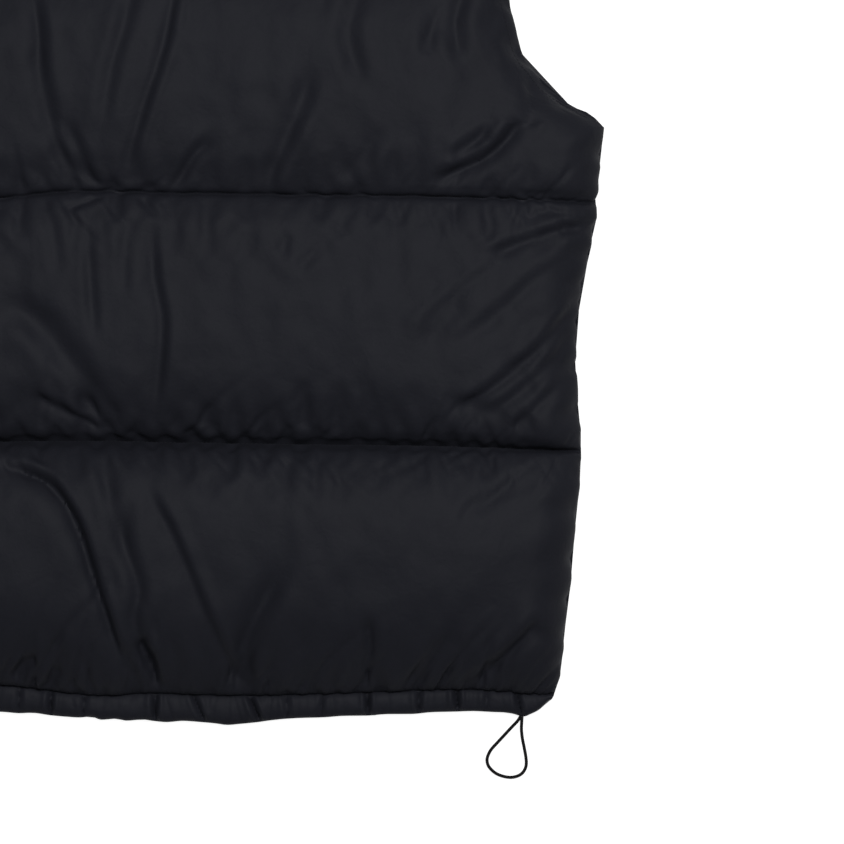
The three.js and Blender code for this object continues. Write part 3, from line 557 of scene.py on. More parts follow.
def along_path(x, y, path):
    """Distance of each point to a path, above 0 on the left of its run, and how far along it (0 to
    1) the nearest place lies."""
    nearest = np.full(x.shape, 1e9)
    at = np.zeros(x.shape)
    side = np.ones(x.shape)
    steps = len(path) - 1
    for i, ((ax, ay), (bx, by)) in enumerate(zip(path, path[1:])):
        dx, dy = bx - ax, by - ay
        t = np.clip(((x - ax) * dx + (y - ay) * dy) / (dx * dx + dy * dy), 0, 1)
        away_x, away_y = x - ax - t * dx, y - ay - t * dy
        distance = np.hypot(away_x, away_y)
        nearer = distance < nearest
        nearest = np.where(nearer, distance, nearest)
        at = np.where(nearer, (i + t) / steps, at)
        side = np.where(nearer, np.where(dx * away_y - dy * away_x >= 0, 1, -1), side)
    return nearest * side, at


def crease_depth(x, y, creases):
    """How deep creases press the cloth in at every point. It is below 0 on their lips."""
    depth = np.zeros(x.shape)
    for width, deep, high_lip, lean, sharp, points in creases:
        path = smooth_path(points, 5)
        reach = 5 * width
        low, high = path.min(axis=0) - reach, path.max(axis=0) + reach
        near = (x > low[0]) & (x < high[0]) & (y > low[1]) & (y < high[1])
        if not near.any():
            continue
        distance, at = along_path(x[near], y[near], path)
        away = np.hypot(distance, CREASE_ROUND) / width
        steep = np.clip(0.5 + lean * distance / (2 * CREASE_ROUND), 0, 1)
        reached = away * (0.65 + 0.9 * steep * steep * (3 - 2 * steep) if lean else 1.5)
        trough = sharp * np.exp(-reached ** 1.15) + (1 - sharp) * np.exp(-away ** 2)
        lip = np.exp(-((away - 1.3) / 0.7) ** 2) * np.where(lean * distance >= 0, 1, 0.1)
        fade = np.clip(at * 4 + 0.15, 0, 1) * np.clip((1 - at) * 4 + 0.15, 0, 1)
        fade = fade * fade * (3 - 2 * fade)
        depth[near] += (deep * trough - high_lip * lip) * fade
    return depth


# Small puckers that fan out from the seams. For places along each seam, crowd says how many there
# are and how strong, and above and below how far they lean to the right on its two sides.
PUCKERS = {"pitch": 8, "length": (12, 60), "width": (1.2, 2.6), "depth": (0.5, 2.6), "fan": 0.4}
PUCKER_COLUMNS = ("x", "crowd", "above", "below")
PUCKER_CROWDS = {
    "hem": [(-300, 1.6, 0.4, 0), (-150, 2.2, 0.5, 0), (-100, 1.9, 0.1, 0), (-40, 1.8, 0.1, 0),
            (20, 1.9, 0.5, 0), (110, 1.6, 0.4, 0), (190, 1.8, 0.8, 0), (300, 1.6, 0.7, 0)],
    "low": [(-300, 1.1, 0.3, -0.5), (-120, 1.0, -0.6, 0.6), (-80, 1.3, -0.2, 0.5), (-20, 1.3, 0.6, 0.8),
            (60, 1.3, 0.7, 0.6), (120, 0.5, 0.4, 0.3), (165, 1.3, 0.7, 0.5), (200, 0.8, 0.7, 0.3),
            (300, 1.4, 0.8, 0.2)],
    "high": [(-300, 0.8, 0.2, 0), (-100, 1.1, -0.3, 0.5), (-20, 0.7, 0.2, 0.5), (80, 0.4, 0.4, 0.2),
             (150, 0.9, 0.6, 0.4), (230, 0.9, 0.8, 0.3), (300, 0.8, 0.6, 0)],
    "top": [(-300, 0.8, 0, 0), (0, 0.7, 0, 0), (300, 0.8, 0, 0)],
}


def pucker_depth(x, y, seam_y, crowds, way, random):
    """How deep the puckers on one side of a seam press the cloth in. way is 1 for those above it."""
    depth = np.zeros(x.shape)
    crowd, above, below = (
        smooth_curve([(row[0], row[PUCKER_COLUMNS.index(column)]) for row in crowds])
        for column in PUCKER_COLUMNS[1:])
    lean_at = above if way > 0 else below
    at, right = x.min(), x.max()
    while at < right:
        at += PUCKERS["pitch"] * random.uniform(0.3, 1.6) / max(0.25, float(crowd(at)))
        strength = float(crowd(at)) * random.uniform(0.3, 1)
        length = random.uniform(*PUCKERS["length"]) * (0.35 + 0.6 * strength)
        width = random.uniform(*PUCKERS["width"])
        lean = float(lean_at(at)) + random.normal(0, PUCKERS["fan"])
        start = float(seam_y(at))
        middle = (at + 0.4 * length * lean, start + way * length * 0.5)
        end = (at + length * lean, start + way * length)
        path = smooth_path([(at, start - way * 1.5), middle, end], 3)
        near = (np.abs(x - at) < length * (abs(lean) + 0.2) + 12) & (np.abs(y - start) < length + 12)
        if not near.any():
            continue
        distance, along = along_path(x[near], y[near], path)
        fade = np.clip(1 - along, 0, 1) ** 0.8 * np.clip(along * 6 + 0.3, 0, 1)
        away = distance / (width * (0.6 + 0.8 * along))
        groove = np.exp(-away ** 2) - 0.4 * np.exp(-((np.abs(away) - 1.6) / 0.7) ** 2)
        depth[near] += random.uniform(*PUCKERS["depth"]) * strength * fade * groove
    return depth


def lumps(x, y, size, random):
    """Smooth unevenness of about this size in millimetres, between -1 and 1."""
    low_x, low_y = x.min() - size, y.min() - size
    columns = int((x.max() - low_x) / size) + 4
    rows = int((y.max() - low_y) / size) + 4
    knots = random.uniform(-1, 1, (rows, columns))
    u, v = (x - low_x) / size, (y - low_y) / size
    i, j = u.astype(int), v.astype(int)
    s, t = u - i, v - j
    s, t = s * s * (3 - 2 * s), t * t * (3 - 2 * t)
    lower = knots[j, i] * (1 - s) + knots[j, i + 1] * s
    upper = knots[j + 1, i] * (1 - s) + knots[j + 1, i + 1] * s
    return lower * (1 - t) + upper * t


def normals(points):
    across = np.cross(np.gradient(points, axis=1), np.gradient(points, axis=0))
    return across / np.maximum(np.linalg.norm(across, axis=-1, keepdims=True), 1e-9)


def strip(points, first, second):
    """Triangles between two lines of vertices that run the same way, with any numbers of them."""
    def shares(line):
        way = way_along(points[line])
        return way / way[-1]

    along_first, along_second = shares(first), shares(second)
    triangles = []
    i = k = 0
    while i < len(first) - 1 or k < len(second) - 1:
        next_first = along_first[i + 1] if i < len(first) - 1 else math.inf
        next_second = along_second[k + 1] if k < len(second) - 1 else math.inf
        if next_first <= next_second + 1e-6:
            triangles.append((first[i], first[i + 1], second[k]))
            i += 1
        else:
            triangles.append((first[i], second[k + 1], second[k]))
            k += 1
    return triangles


def kept(count, step):
    return np.unique(np.concatenate([np.arange(0, count, step), [count - 1]]))


def closed_wall(outer, inner, step, flipped):
    """Points and faces of a wall between a fine outer grid and an inner one that keeps every so
    many rows and columns. flipped turns its faces round."""
    rows, columns = outer.shape[:2]
    inner = inner[kept(rows, step)][:, kept(columns, step)]
    points = np.vstack([outer.reshape(-1, 3), inner.reshape(-1, 3)])
    outer_ids = np.arange(rows * columns).reshape(rows, columns)
    inner_ids = rows * columns + np.arange(inner.shape[0] * inner.shape[1]).reshape(inner.shape[:2])
    faces = folded_faces(outer).tolist()
    faces += grid_faces(*inner.shape[:2], rows * columns)[:, ::-1].tolist()

    def border(ids):
        return [ids[0], ids[:, -1], ids[-1][::-1], ids[:, 0][::-1]]

    for outside, inside in zip(border(outer_ids), border(inner_ids)):
        faces += strip(points, inside, outside)
    return points, [face[::-1] for face in faces] if flipped else faces


def add_wall(name, outer, inner, step, flipped, material, nodes):
    points, faces = closed_wall(outer, inner, step, flipped)
    piece = add_mesh(name, to_frame(points), faces, material)
    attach(piece, "garment")
    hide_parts(*nodes)


def settle(points, held, distances, stage, random):
    """Lets a sheet of cloth find its wrinkles. distances gives how far each point is from the seams
    across it and from its side seam, which gather it."""
    across_gather, along_gather = (
        stage["anywhere"] + stage["excess"] * gather * np.exp(-(distance / stage["reach"]) ** 2)
        for distance, gather in distances)
    links = [
        (np.s_[:, :-1], np.s_[:, 1:], across_gather, 1, False),
        (np.s_[:-1], np.s_[1:], along_gather, 1, False),
        (np.s_[:-1, :-1], np.s_[1:, 1:], (across_gather + along_gather) / 2, 0.5, False),
        (np.s_[:-1, 1:], np.s_[1:, :-1], (across_gather + along_gather) / 2, 0.5, False),
        (np.s_[:, :-2], np.s_[:, 2:], across_gather, stage["stiff"], True),
        (np.s_[:-2], np.s_[2:], along_gather, stage["stiff"], True),
    ]
    rests, touching = [], np.zeros(points.shape[:2])
    for a, b, longer, share, only_push in links:
        rests.append(np.linalg.norm(points[b] - points[a], axis=-1) * (1 + (longer[a] + longer[b]) / 2))
        touching[a] += 1
        touching[b] += 1
    loose = np.where(held, 0.0, 1.0)[..., None]
    seeds = stage["seed"] * lumps(points[..., 0], points[..., 1], stage["lump"], random)
    points = points + normals(points) * seeds[..., None] * loose
    speed = np.zeros_like(points)
    for _ in range(stage["steps"]):
        before = points
        points = points + (speed + stage["fill"] * normals(points)) * loose
        for _ in range(PASSES):
            move = np.zeros_like(points)
            for (a, b, longer, share, only_push), rest in zip(links, rests):
                apart = points[b] - points[a]
                short = 1 - rest / np.maximum(np.linalg.norm(apart, axis=-1), 1e-9)
                if only_push:
                    short = np.minimum(short, 0)
                half = (0.5 * share * short)[..., None] * apart
                move[a] += half
                move[b] -= half
            points = points + OVERSHOOT * move / touching[..., None] * loose
        speed = KEEP_SPEED * (points - before)
    return points


def wavered(points, seam_rows, random):
    """Lets the sewn lines stray a little, and the cloth beside them with them."""
    x, y = points[..., 0], points[..., 1]
    stray = SEAM_WAVER["most"] * lumps(x, 0 * x, SEAM_WAVER["size"], random)
    for row in seam_rows:
        points[..., 1] += stray * np.exp(-((y - y[row]) / SEAM_WAVER["reach"]) ** 2)
    return points


def quilted_panel(boundaries, counts, columns, left_x, right_x, half_width, side, height, details, random):
    """The outer and inner faces of a quilted panel. side is 1 where its outer face is up and -1
    where it lies on the ground. The rows of padding swell as cloth on every second row and column
    of points, then details(x, y, across) presses creases into them."""
    x, y, across, row = panel_grid(boundaries, counts, crowded(columns, COLUMN_CROWDING), left_x, right_x)
    fuller = across ** smooth_curve(FULL_LOW)(x) - across
    share = across + fuller * np.minimum(across / np.array(FULL_FROM)[row], 1) ** 1.5
    thickness = np.choose(row, [thick(share) for thick in row_thickness])
    for seam, rows in SEAM_LIFTS.items():
        away = (y - boundaries[seam](x)) / LIFT_REACH
        thickness = thickness + smooth_curve(rows)(x) * np.exp(-away ** 2)
    to_edge = np.maximum(finer(edge_distance(x[::2, ::2], y[::2, ::2], half_width)), 0)
    rise = edge_rise(to_edge, SIDE_REACH)
    seam_rows = np.concatenate([[0], np.cumsum(counts)])
    to_seam = np.min([np.abs(y - y[line]) for line in seam_rows], axis=0)
    held = np.zeros(x.shape, bool)
    held[seam_rows] = True
    held[:, [0, -1]] = True
    uneven = GATHER_UNEVEN["middle"] + GATHER_UNEVEN["swing"] * lumps(x, y, GATHER_UNEVEN["size"], random)
    gathers = [(to_seam, np.clip(uneven, 0.05, 1.3)), (to_edge, np.clip(uneven, 0.05, 0.8))]
    inner = np.stack([x, y, meeting_z(y) + side * SEAM_GAP / 2], -1)
    outer = inner + np.stack([0 * x, 0 * x, side * height(x, thickness, rise)], -1)
    outer = wavered(outer, seam_rows[1:-1], random) * (1, 1, side)
    middle = np.clip(rise * 1.6, 0, 1)
    coarse = outer[::2, ::2].copy()
    swelling = np.clip(to_edge[::2, ::2, None] / SWELL["from_edge"], 0, 1) ** 1.5
    coarse = coarse + swelling * swell(coarse, held[::2, ::2])
    coarse_gathers = [(distance[::2, ::2], gather[::2, ::2]) for distance, gather in gathers]
    broad = settle(coarse, held[::2, ::2], coarse_gathers, SETTLE[0], random)
    outer = outer + finer(broad - outer[::2, ::2])
    to_quilting = np.min([np.abs(y - y[line]) for line in seam_rows[1:]], axis=0)
    middle = middle * (1 - np.exp(-(to_quilting / SEWN_FLAT) ** 2)) * (1 - np.exp(-(y - y[0]) / 1.5))
    outer = outer - normals(outer) * (softened(details(x, y, across, random)) * middle)[..., None]
    outer = settle(outer, held, gathers, SETTLE[1], random) * (1, 1, side)
    limit = inner[..., 2] + side * LEAST_WALL
    outer[..., 2] = np.maximum(outer[..., 2], limit) if side > 0 else np.minimum(outer[..., 2], limit)
    return outer, inner


def seam_puckers(x, y, boundaries, random):
    """Puckers on both sides of every quilt seam, and inside the panel's lowest and highest line."""
    crowds = [PUCKER_CROWDS[key] for key in ("hem", "low", "high", "top", "top")]
    depth = np.zeros(x.shape)
    for k, (boundary, rows) in enumerate(zip(boundaries, crowds)):
        for way in (1, -1):
            if (k == 0 and way < 0) or (k == len(boundaries) - 1 and way > 0):
                continue
            depth += pucker_depth(x, y, boundary, rows, way, random)
    return depth


UNEVENNESS = ((46, 0.9), (21, 0.5), (8, 0.05))    # sizes of lumps and how high they are


def unevenness(x, y, random):
    """Lumps of the down and fine crinkles of the cloth."""
    return sum(height * lumps(x, y, size, random) for size, height in UNEVENNESS)


def back_panel(material):
    boundaries = panel_boundaries(back_neck_y)

    def height(x, thickness, rise):
        return EDGE_WALL + START_FILL * (thickness - EDGE_WALL) * rise

    def details(x, y, across, random):
        middle = quilt_bulge(across)
        creases = crease_depth(x, y, BACK_CREASES)
        puckers = seam_puckers(x, y, boundaries, random)
        return CREASE_DEPTH * creases + puckers + unevenness(x, y, random) * middle

    outer, inner = quilted_panel(
        boundaries, BACK_ROWS, BACK_COLUMNS, lambda y: -back_half_width(y), back_half_width, back_half_width,
        1, height, details, np.random.RandomState(11))
    add_wall("back_padding", outer, inner, INNER_STEP, False, material, ["back"])
    return outer


# The fronts lie on the ground, which presses them flat but for a share of their creases
PRESSED_REACH = 8
PRESSED_RELIEF = 0.45


def front_panel(part, material):
    sign = 1 if part == "right" else -1
    boundaries = panel_boundaries(front_neck_y)
    shift = 0 if part == "right" else 9

    def height(x, thickness, rise):
        centre = edge_rise(np.abs(x) - CENTRE_FRONT_X, CENTRE_REACH)
        return EDGE_WALL + START_FILL * FRONT_LOFT * (thickness - EDGE_WALL) * rise * centre

    def details(x, y, across, random):
        creases = crease_depth(sign * x, y + shift, FRONT_CREASES)
        puckers = seam_puckers(x, y, boundaries, random)
        return CREASE_DEPTH * creases + puckers + unevenness(x, y, random) * quilt_bulge(across)

    def centre_front(y):
        return sign * CENTRE_FRONT_X + 0 * y

    def side_edge(y):
        return sign * front_half_width(y)

    edges = (centre_front, side_edge) if sign > 0 else (side_edge, centre_front)
    outer, inner = quilted_panel(
        boundaries, FRONT_ROWS, FRONT_COLUMNS, *edges, front_half_width,
        -1, height, details, np.random.RandomState(21 if sign > 0 else 22))
    x, y, z = np.moveaxis(outer, -1, 0)
    creases = crease_depth(sign * x, y + shift, FRONT_CREASES)
    puckers = seam_puckers(x, y, boundaries, np.random.RandomState(23 if sign > 0 else 24))
    pressed = np.clip(1 - z / PRESSED_REACH, 0, 1)
    uneven = unevenness(x, y, np.random.RandomState(25))
    lifted = PRESSED_RELIEF * np.clip(creases + puckers + 0.5 * uneven, 0, 7)
    outer[..., 2] = np.maximum(z, 0) + lifted * pressed
    node = f"front_{part}"
    add_wall(f"{node}_padding", outer, inner, INNER_STEP, True, material, [node])
    return outer


# The hem casing. Each gather runs from the seam above it down to its lower edge. A row holds where
# along the vest it starts at the seam, where it ends at the edge, and its depth.
HEM_ROWS = [18]
HEM_COLUMNS = 420
FRONT_HEM_COLUMNS = 180
HEM_WALL = 1.6
HEM_LOFT = 5.2
HEM_GATHERS = [
    (-250, -246, 2.2), (-236, -238, 3.2), (-206, -203, 3.0), (-172, -168, 3.4), (-144, -146, 1.8),
    (-120, -122, 3.4), (-95, -97, 1.8), (-42, -43, 3.8), (-16.5, -4.5, 3.0), (25.5, 37.5, 3.8),
    (55.5, 57.8, 1.6), (84, 82, 1.2), (117, 117.8, 4.0), (155.8, 155.8, 2.6), (183.8, 185.8, 4.0),
    (208, 206, 1.4), (229.5, 233, 3.4),
]
GATHER_WIDTH = 1.7
GATHER_RUN = (32, -2)     # heights at which a gather starts and ends, both outside the casing


def hem_grid(columns, left_x, right_x, side, seed):
    """The outer and inner faces of the hem casing, drawn in where the elastic gathers it."""
    random = np.random.RandomState(seed)
    boundaries = [hem_bottom_y, lambda x: hem_seam_y(x) + SEAM_LAP]
    x, y, across, _ = panel_grid(boundaries, HEM_ROWS, np.arange(columns + 1) / columns, left_x, right_x)
    bulge = (1 - np.abs(2 * across - 1) ** 2.4) ** 0.6
    depth = np.zeros(x.shape)
    for top, bottom, deep in HEM_GATHERS:
        run = [(top, GATHER_RUN[0]), (bottom, GATHER_RUN[1])]
        distance, _ = along_path(x, y, run)
        away = np.abs(distance) / GATHER_WIDTH
        depth += 1.35 * deep * (np.exp(-1.2 * away) - 0.25 * np.exp(-((away - 2.6) / 1.2) ** 2))
    at = x.min()
    while at < x.max():
        at += random.uniform(4, 11)
        slant = random.normal(0, 3)
        distance, _ = along_path(x, y, [(at - slant, GATHER_RUN[0]), (at + slant, GATHER_RUN[1])])
        depth += random.uniform(0.15, 0.75) * np.exp(-(distance / random.uniform(1.4, 2.6)) ** 2)
    depth += 0.3 * lumps(x, y, 9, random) + 0.15 * lumps(x, y, 4, random)
    inner = np.stack([x, y, meeting_z(y) + side * SEAM_GAP / 2], -1)
    thick = HEM_WALL + HEM_LOFT * bulge
    outer = inner + np.stack([0 * x, 0 * x, side * thick], -1)
    outer = outer - normals(outer) * (depth * side * np.clip(bulge * 1.4, 0, 1))[..., None]
    limit = inner[..., 2] + side
    outer[..., 2] = np.maximum(outer[..., 2], limit) if side > 0 else np.clip(outer[..., 2], 0, limit)
    return outer, inner


def add_hems(material):
    def centre_front(sign):
        return lambda y: sign * CENTRE_FRONT_X + 0 * y

    def side_edge(sign):
        return lambda y: sign * side_edge_x(y)

    cuts = [
        ("hem_back", HEM_COLUMNS, side_edge(-1), side_edge(1), 1, 31),
        ("hem_front_left", FRONT_HEM_COLUMNS, side_edge(-1), centre_front(-1), -1, 32),
        ("hem_front_right", FRONT_HEM_COLUMNS, centre_front(1), side_edge(1), -1, 33),
    ]
    grids = {}
    for node, columns, left_x, right_x, side, seed in cuts:
        outer, inner = hem_grid(columns, left_x, right_x, side, seed)
        add_wall(f"{node}_casing", outer, inner, 6, side < 0, material, [node])
        grids[node] = outer
    return grids


# The stand-up collar: one padded wall pressed flat, from centre front round the neck and back
COLLAR_ROWS = 44
COLLAR_STEPS = {"front": 52, "fold": 18, "back": 124}
COLLAR_SETTLE = {
    "reach": 20, "excess": 0.05, "anywhere": 0.004, "steps": 40, "fill": 0.01, "stiff": 1.0,
    "seed": 0.3, "lump": 14,
}
COLLAR_FOLD_X = COLLAR_HALF_WIDTH + 1
COLLAR_LOFT = {"back": 8, "front": 11}
COLLAR_OPEN_FOLD = 1.2
COLLAR_FOLD_REACH = 22
CENTRE_FRONT_WALL = 6


def collar_stations():
    """Where the collar runs: x, which way its outer face is turned, and the neckline below it."""
    fold_x, half_turn = COLLAR_FOLD_X, math.pi / 2
    stations = []
    for i in range(COLLAR_STEPS["front"]):
        share = i / COLLAR_STEPS["front"]
        stations.append((-CENTRE_FRONT_X + (CENTRE_FRONT_X - fold_x) * share, -half_turn, front_neck_y))
    for i in range(COLLAR_STEPS["fold"]):
        stations.append((-fold_x, -half_turn - math.pi * i / COLLAR_STEPS["fold"], back_neck_y))
    for i in range(COLLAR_STEPS["back"] + 1):
        stations.append((-fold_x + 2 * fold_x * i / COLLAR_STEPS["back"], half_turn, back_neck_y))
    for i in range(1, COLLAR_STEPS["fold"] + 1):
        stations.append((fold_x, half_turn - math.pi * i / COLLAR_STEPS["fold"], back_neck_y))
    for i in range(1, COLLAR_STEPS["front"] + 1):
        share = i / COLLAR_STEPS["front"]
        stations.append((fold_x + (CENTRE_FRONT_X - fold_x) * share, -half_turn, front_neck_y))
    return stations


def add_collar(material):
    random = np.random.RandomState(41)
    outer, inner = [], []
    for f in crowded(COLLAR_ROWS, ROW_CROWDING):
        outer_row, inner_row = [], []
        for x, turn, neck_y in collar_stations():
            y = float(neck_y(x)) + SEAM_GAP / 2 + COLLAR_HEIGHT * f
            up = (math.sin(turn) + 1) / 2
            near_fold = 1 - np.clip((COLLAR_FOLD_X - abs(x)) / COLLAR_FOLD_REACH, 0, 1)
            half = SEAM_GAP / 2 + COLLAR_OPEN_FOLD * near_fold ** 2
            at_front = edge_rise(abs(x) - CENTRE_FRONT_X, CENTRE_REACH)
            rise = at_front if up < 0.5 else 1
            wall = CENTRE_FRONT_WALL + (EDGE_WALL - CENTRE_FRONT_WALL) * rise
            loft = COLLAR_LOFT["front"] + (COLLAR_LOFT["back"] - COLLAR_LOFT["front"]) * up
            thick = wall + loft * rise * quilt_bulge(f)
            middle = float(meeting_z(y))
            for row, reach in ((inner_row, half), (outer_row, half + thick)):
                row.append((x + math.cos(turn) * reach, y, middle + math.sin(turn) * reach))
        outer.append(outer_row)
        inner.append(inner_row)
    outer, inner = np.array(outer), np.array(inner)
    way = way_along(outer[0])
    s, t = np.broadcast_arrays(way[None, :], outer[:, :1, 1] - outer[0, 0, 1])
    crowds = [(0, 0.8, 0, 0), (float(way[-1]), 0.8, 0, 0)]
    depth = pucker_depth(s, t, lambda at: 0 * at, crowds, 1, random)
    depth += pucker_depth(s, t, lambda at: COLLAR_HEIGHT + 0 * at, crowds, -1, random)
    depth += 0.8 * unevenness(s, t, random)
    bulge = quilt_bulge(crowded(COLLAR_ROWS, ROW_CROWDING))[:, None]
    outer = outer - normals(outer) * (depth * np.clip(bulge * 1.4, 0, 1))[..., None]
    held = np.zeros(s.shape, bool)
    held[[0, -1]] = True
    held[:, [0, -1]] = True
    gathers = [(np.minimum(t, COLLAR_HEIGHT - t), 1), (np.minimum(s, way[-1] - s), 1)]
    outer = settle(outer, held, gathers, COLLAR_SETTLE, random)
    outer[..., 2] = np.maximum(outer[..., 2], 0)
    inner[..., 2] = np.maximum(inner[..., 2], 0)
    add_wall("collar_padding", outer, inner, 2, False, material, ["collar"])


# Sewing: short stitches that follow the surface, sunk by half their thickness
STITCH = {"pitch": 3.4, "length": 2.6, "radius": 0.2, "sides": 6}
STITCH_PROFILE = [(0, 0.35), (0.18, 0.9), (0.5, 1), (0.82, 0.9), (1, 0.35)]


def resampled(line, step):
    """Points at even steps along a line, and which way it runs at each."""
    way = way_along(line)
    at = np.arange(step / 2, way[-1] - step / 2, step)
    place = np.stack([np.interp(at, way, line[:, i]) for i in range(3)], -1)
    ahead = np.stack([np.interp(at + 0.4, way, line[:, i]) for i in range(3)], -1) - place
    return place, ahead / np.maximum(np.linalg.norm(ahead, axis=1, keepdims=True), 1e-9)


def stitches(lines, up):
    """Points and faces of all the stitches along some lines on cloth whose outer side faces up."""
    sides = STITCH["sides"]
    angle = 2 * math.pi * np.arange(sides) / sides
    points, faces = [], []
    for line in lines:
        place, ahead = resampled(line, STITCH["pitch"])
        across = np.cross(ahead, (0, 0, up))
        across /= np.maximum(np.linalg.norm(across, axis=1, keepdims=True), 1e-9)
        lift = np.cross(across, ahead)
        for base, a, c, n in zip(place, ahead, across, lift):
            first = len(points)
            for along, fullness in STITCH_PROFILE:
                radius = STITCH["radius"] * fullness
                centre = base + a * (along - 0.5) * STITCH["length"] + n * 0.02
                points.extend(centre + radius * (c * math.cos(t) + n * math.sin(t)) for t in angle)
            faces += ring_faces(len(STITCH_PROFILE), sides, first)
    return points, faces


def add_stitches(name, lines, up, material):
    points, faces = stitches(lines, up)
    piece = add_mesh(name, to_frame(points), faces, material, sharp=180)
    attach(piece, "garment")


def line_beside_edge(outer, inset, part):
    """A line on a panel so far inside its armhole or centre front, from its lowest row to its last."""
    line = []
    for row in outer:
        x, y, z = row.T
        if part == "centre":
            at = math.copysign(CENTRE_FRONT_X + inset, x[len(x) // 2])
        else:
            if y[0] < ARMPIT[1] + 4:
                continue
            at = x[-1] - inset if part == "right" else x[0] + inset
        line.append([at, np.interp(at, x, y), np.interp(at, x, z)])
    return np.array(line)


def add_sewing(back, fronts, hems, material):
    seam_rows = np.cumsum(BACK_ROWS)[:-1]
    inset = slice(3, -3)
    lines = [back[row, inset] for row in seam_rows]
    lines += [line_beside_edge(back, 7, part) for part in ("left", "right")]
    lines += [back[2, inset], hems["hem_back"][-4, inset]]
    add_stitches("stitches_back", lines, 1, material)
    for part, front in fronts.items():
        lines = [front[row, inset] for row in np.cumsum(FRONT_ROWS)[:-1]]
        lines += [line_beside_edge(front, 7, part), line_beside_edge(front, 5, "centre")]
        lines += [hems[f"hem_front_{part}"][-4, inset]]
        add_stitches(f"stitches_front_{part}", lines, -1, material)


# Teeth of the zip, on both tapes in turn, as far as the slider
ZIP_DROP = 3.6
ZIP_LOWEST = 2.2
TOOTH = {"pitch": 3.0, "reach": 1.0, "back": 2.6, "length": 1.7, "height": 3.0, "head": 1.0}
TOOTH_LEVELS = ((-0.5, 0.82), (-0.36, 1), (0.36, 1), (0.5, 0.82))    # heights and how wide it is there
ZIP_FIRST_TOOTH_Y = 19
SLIDER = {"y": 696, "length": 12}
ZIP_TOP_Y = 709


def zip_z(y):
    return np.maximum(ZIP_LOWEST, meeting_z(y) - ZIP_DROP)


def tooth(sign, y):
    """One moulded tooth: a body round the tape's edge and a rounded head that reaches past it."""
    z = float(zip_z(y))
    outline = [
        (-TOOTH["back"], 0.8), (-0.6, 0.8), (0, 0.55), (TOOTH["reach"] * 0.7, 1), (TOOTH["reach"], 0.55),
    ]
    points = []
    for level, share in TOOTH_LEVELS:
        ring = [(u, w * share) for u, w in outline] + [(u, -w * share) for u, w in outline[::-1]]
        points += [(-sign * u, y + w * TOOTH["length"] / 2, z + level * TOOTH["height"]) for u, w in ring]
    faces = ring_faces(len(TOOTH_LEVELS), 2 * len(outline))
    return points, [face if sign > 0 else face[::-1] for face in faces]


def add_teeth(material):
    for part, sign in (("left", -1), ("right", 1)):
        points, faces = [], []
        start = ZIP_FIRST_TOOTH_Y + (0 if sign > 0 else TOOTH["pitch"] / 2)
        for y in np.arange(start, ZIP_TOP_Y - 2, TOOTH["pitch"]):
            if abs(y - SLIDER["y"]) < SLIDER["length"] / 2 + 1:
                continue
            more, sides = tooth(sign, y)
            faces += [[len(points) + i for i in face] for face in sides]
            points += more
        piece = add_mesh(f"zip_teeth_{part}", to_frame(points), faces, material, sharp=35)
        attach(piece, "garment")


# Materials
SHELL = {"colour": (0.0086, 0.0090, 0.0122), "worn": (0.0098, 0.0103, 0.0138), "roughness": 0.58}
THREAD_COLOUR = (0.007, 0.0073, 0.0098)
TAPE = {"colour": (0.012, 0.012, 0.015), "worn": (0.016, 0.016, 0.02)}
METAL = {"colour": (0.045, 0.045, 0.05), "worn": (0.075, 0.075, 0.08)}
CORD = {"colour": (0.005, 0.0048, 0.0052), "worn": (0.009, 0.0085, 0.0085)}


class Nodes:
    """Short ways to add nodes to a material and to join them."""

    def __init__(self, material):
        self.tree = material.node_tree
        self.shader = self.tree.nodes["Principled BSDF"]
        self.place = self.add("ShaderNodeTexCoord").outputs["Object"]

    def add(self, kind, links=(), **settings):
        node = self.tree.nodes.new(kind)
        for key, value in settings.items():
            setattr(node, key, value)
        for name, value in dict(links).items():
            if isinstance(value, bpy.types.NodeSocket):
                self.tree.links.new(value, node.inputs[name])
            else:
                node.inputs[name].default_value = value
        return node

    def noise(self, scale, detail=3.0, distortion=0.0):
        links = {"Vector": self.place, "Scale": scale, "Detail": detail, "Distortion": distortion}
        return self.add("ShaderNodeTexNoise", links).outputs["Fac"]

    def wave(self, direction, scale, distortion=0.0):
        links = {"Vector": self.place, "Scale": scale, "Distortion": distortion, "Detail Scale": 1.0}
        bands = self.add("ShaderNodeTexWave", links, wave_type="BANDS", bands_direction=direction)
        return bands.outputs["Fac"]

    def math(self, operation, a, b):
        node = self.add("ShaderNodeMath", operation=operation)
        for socket, value in zip(node.inputs, (a, b)):
            if isinstance(value, bpy.types.NodeSocket):
                self.tree.links.new(value, socket)
            else:
                socket.default_value = value
        return node.outputs[0]

    def bump(self, height, distance, strength=1.0, before=None):
        links = {"Height": height, "Distance": distance, "Strength": strength}
        if before:
            links["Normal"] = before
        return self.add("ShaderNodeBump", links).outputs["Normal"]

    def colour(self, share, low, high):
        ramp = self.add("ShaderNodeValToRGB", {"Fac": share})
        ramp.color_ramp.elements[0].position = 0.35
        ramp.color_ramp.elements[0].color = (*low, 1)
        ramp.color_ramp.elements[1].position = 0.68
        ramp.color_ramp.elements[1].color = (*high, 1)
        return ramp.outputs["Color"]

    def finish(self, colour=None, normal=None, roughness=None):
        for name, value in (("Base Color", colour), ("Normal", normal), ("Roughness", roughness)):
            if value is not None:
                self.tree.links.new(value, self.shader.inputs[name])


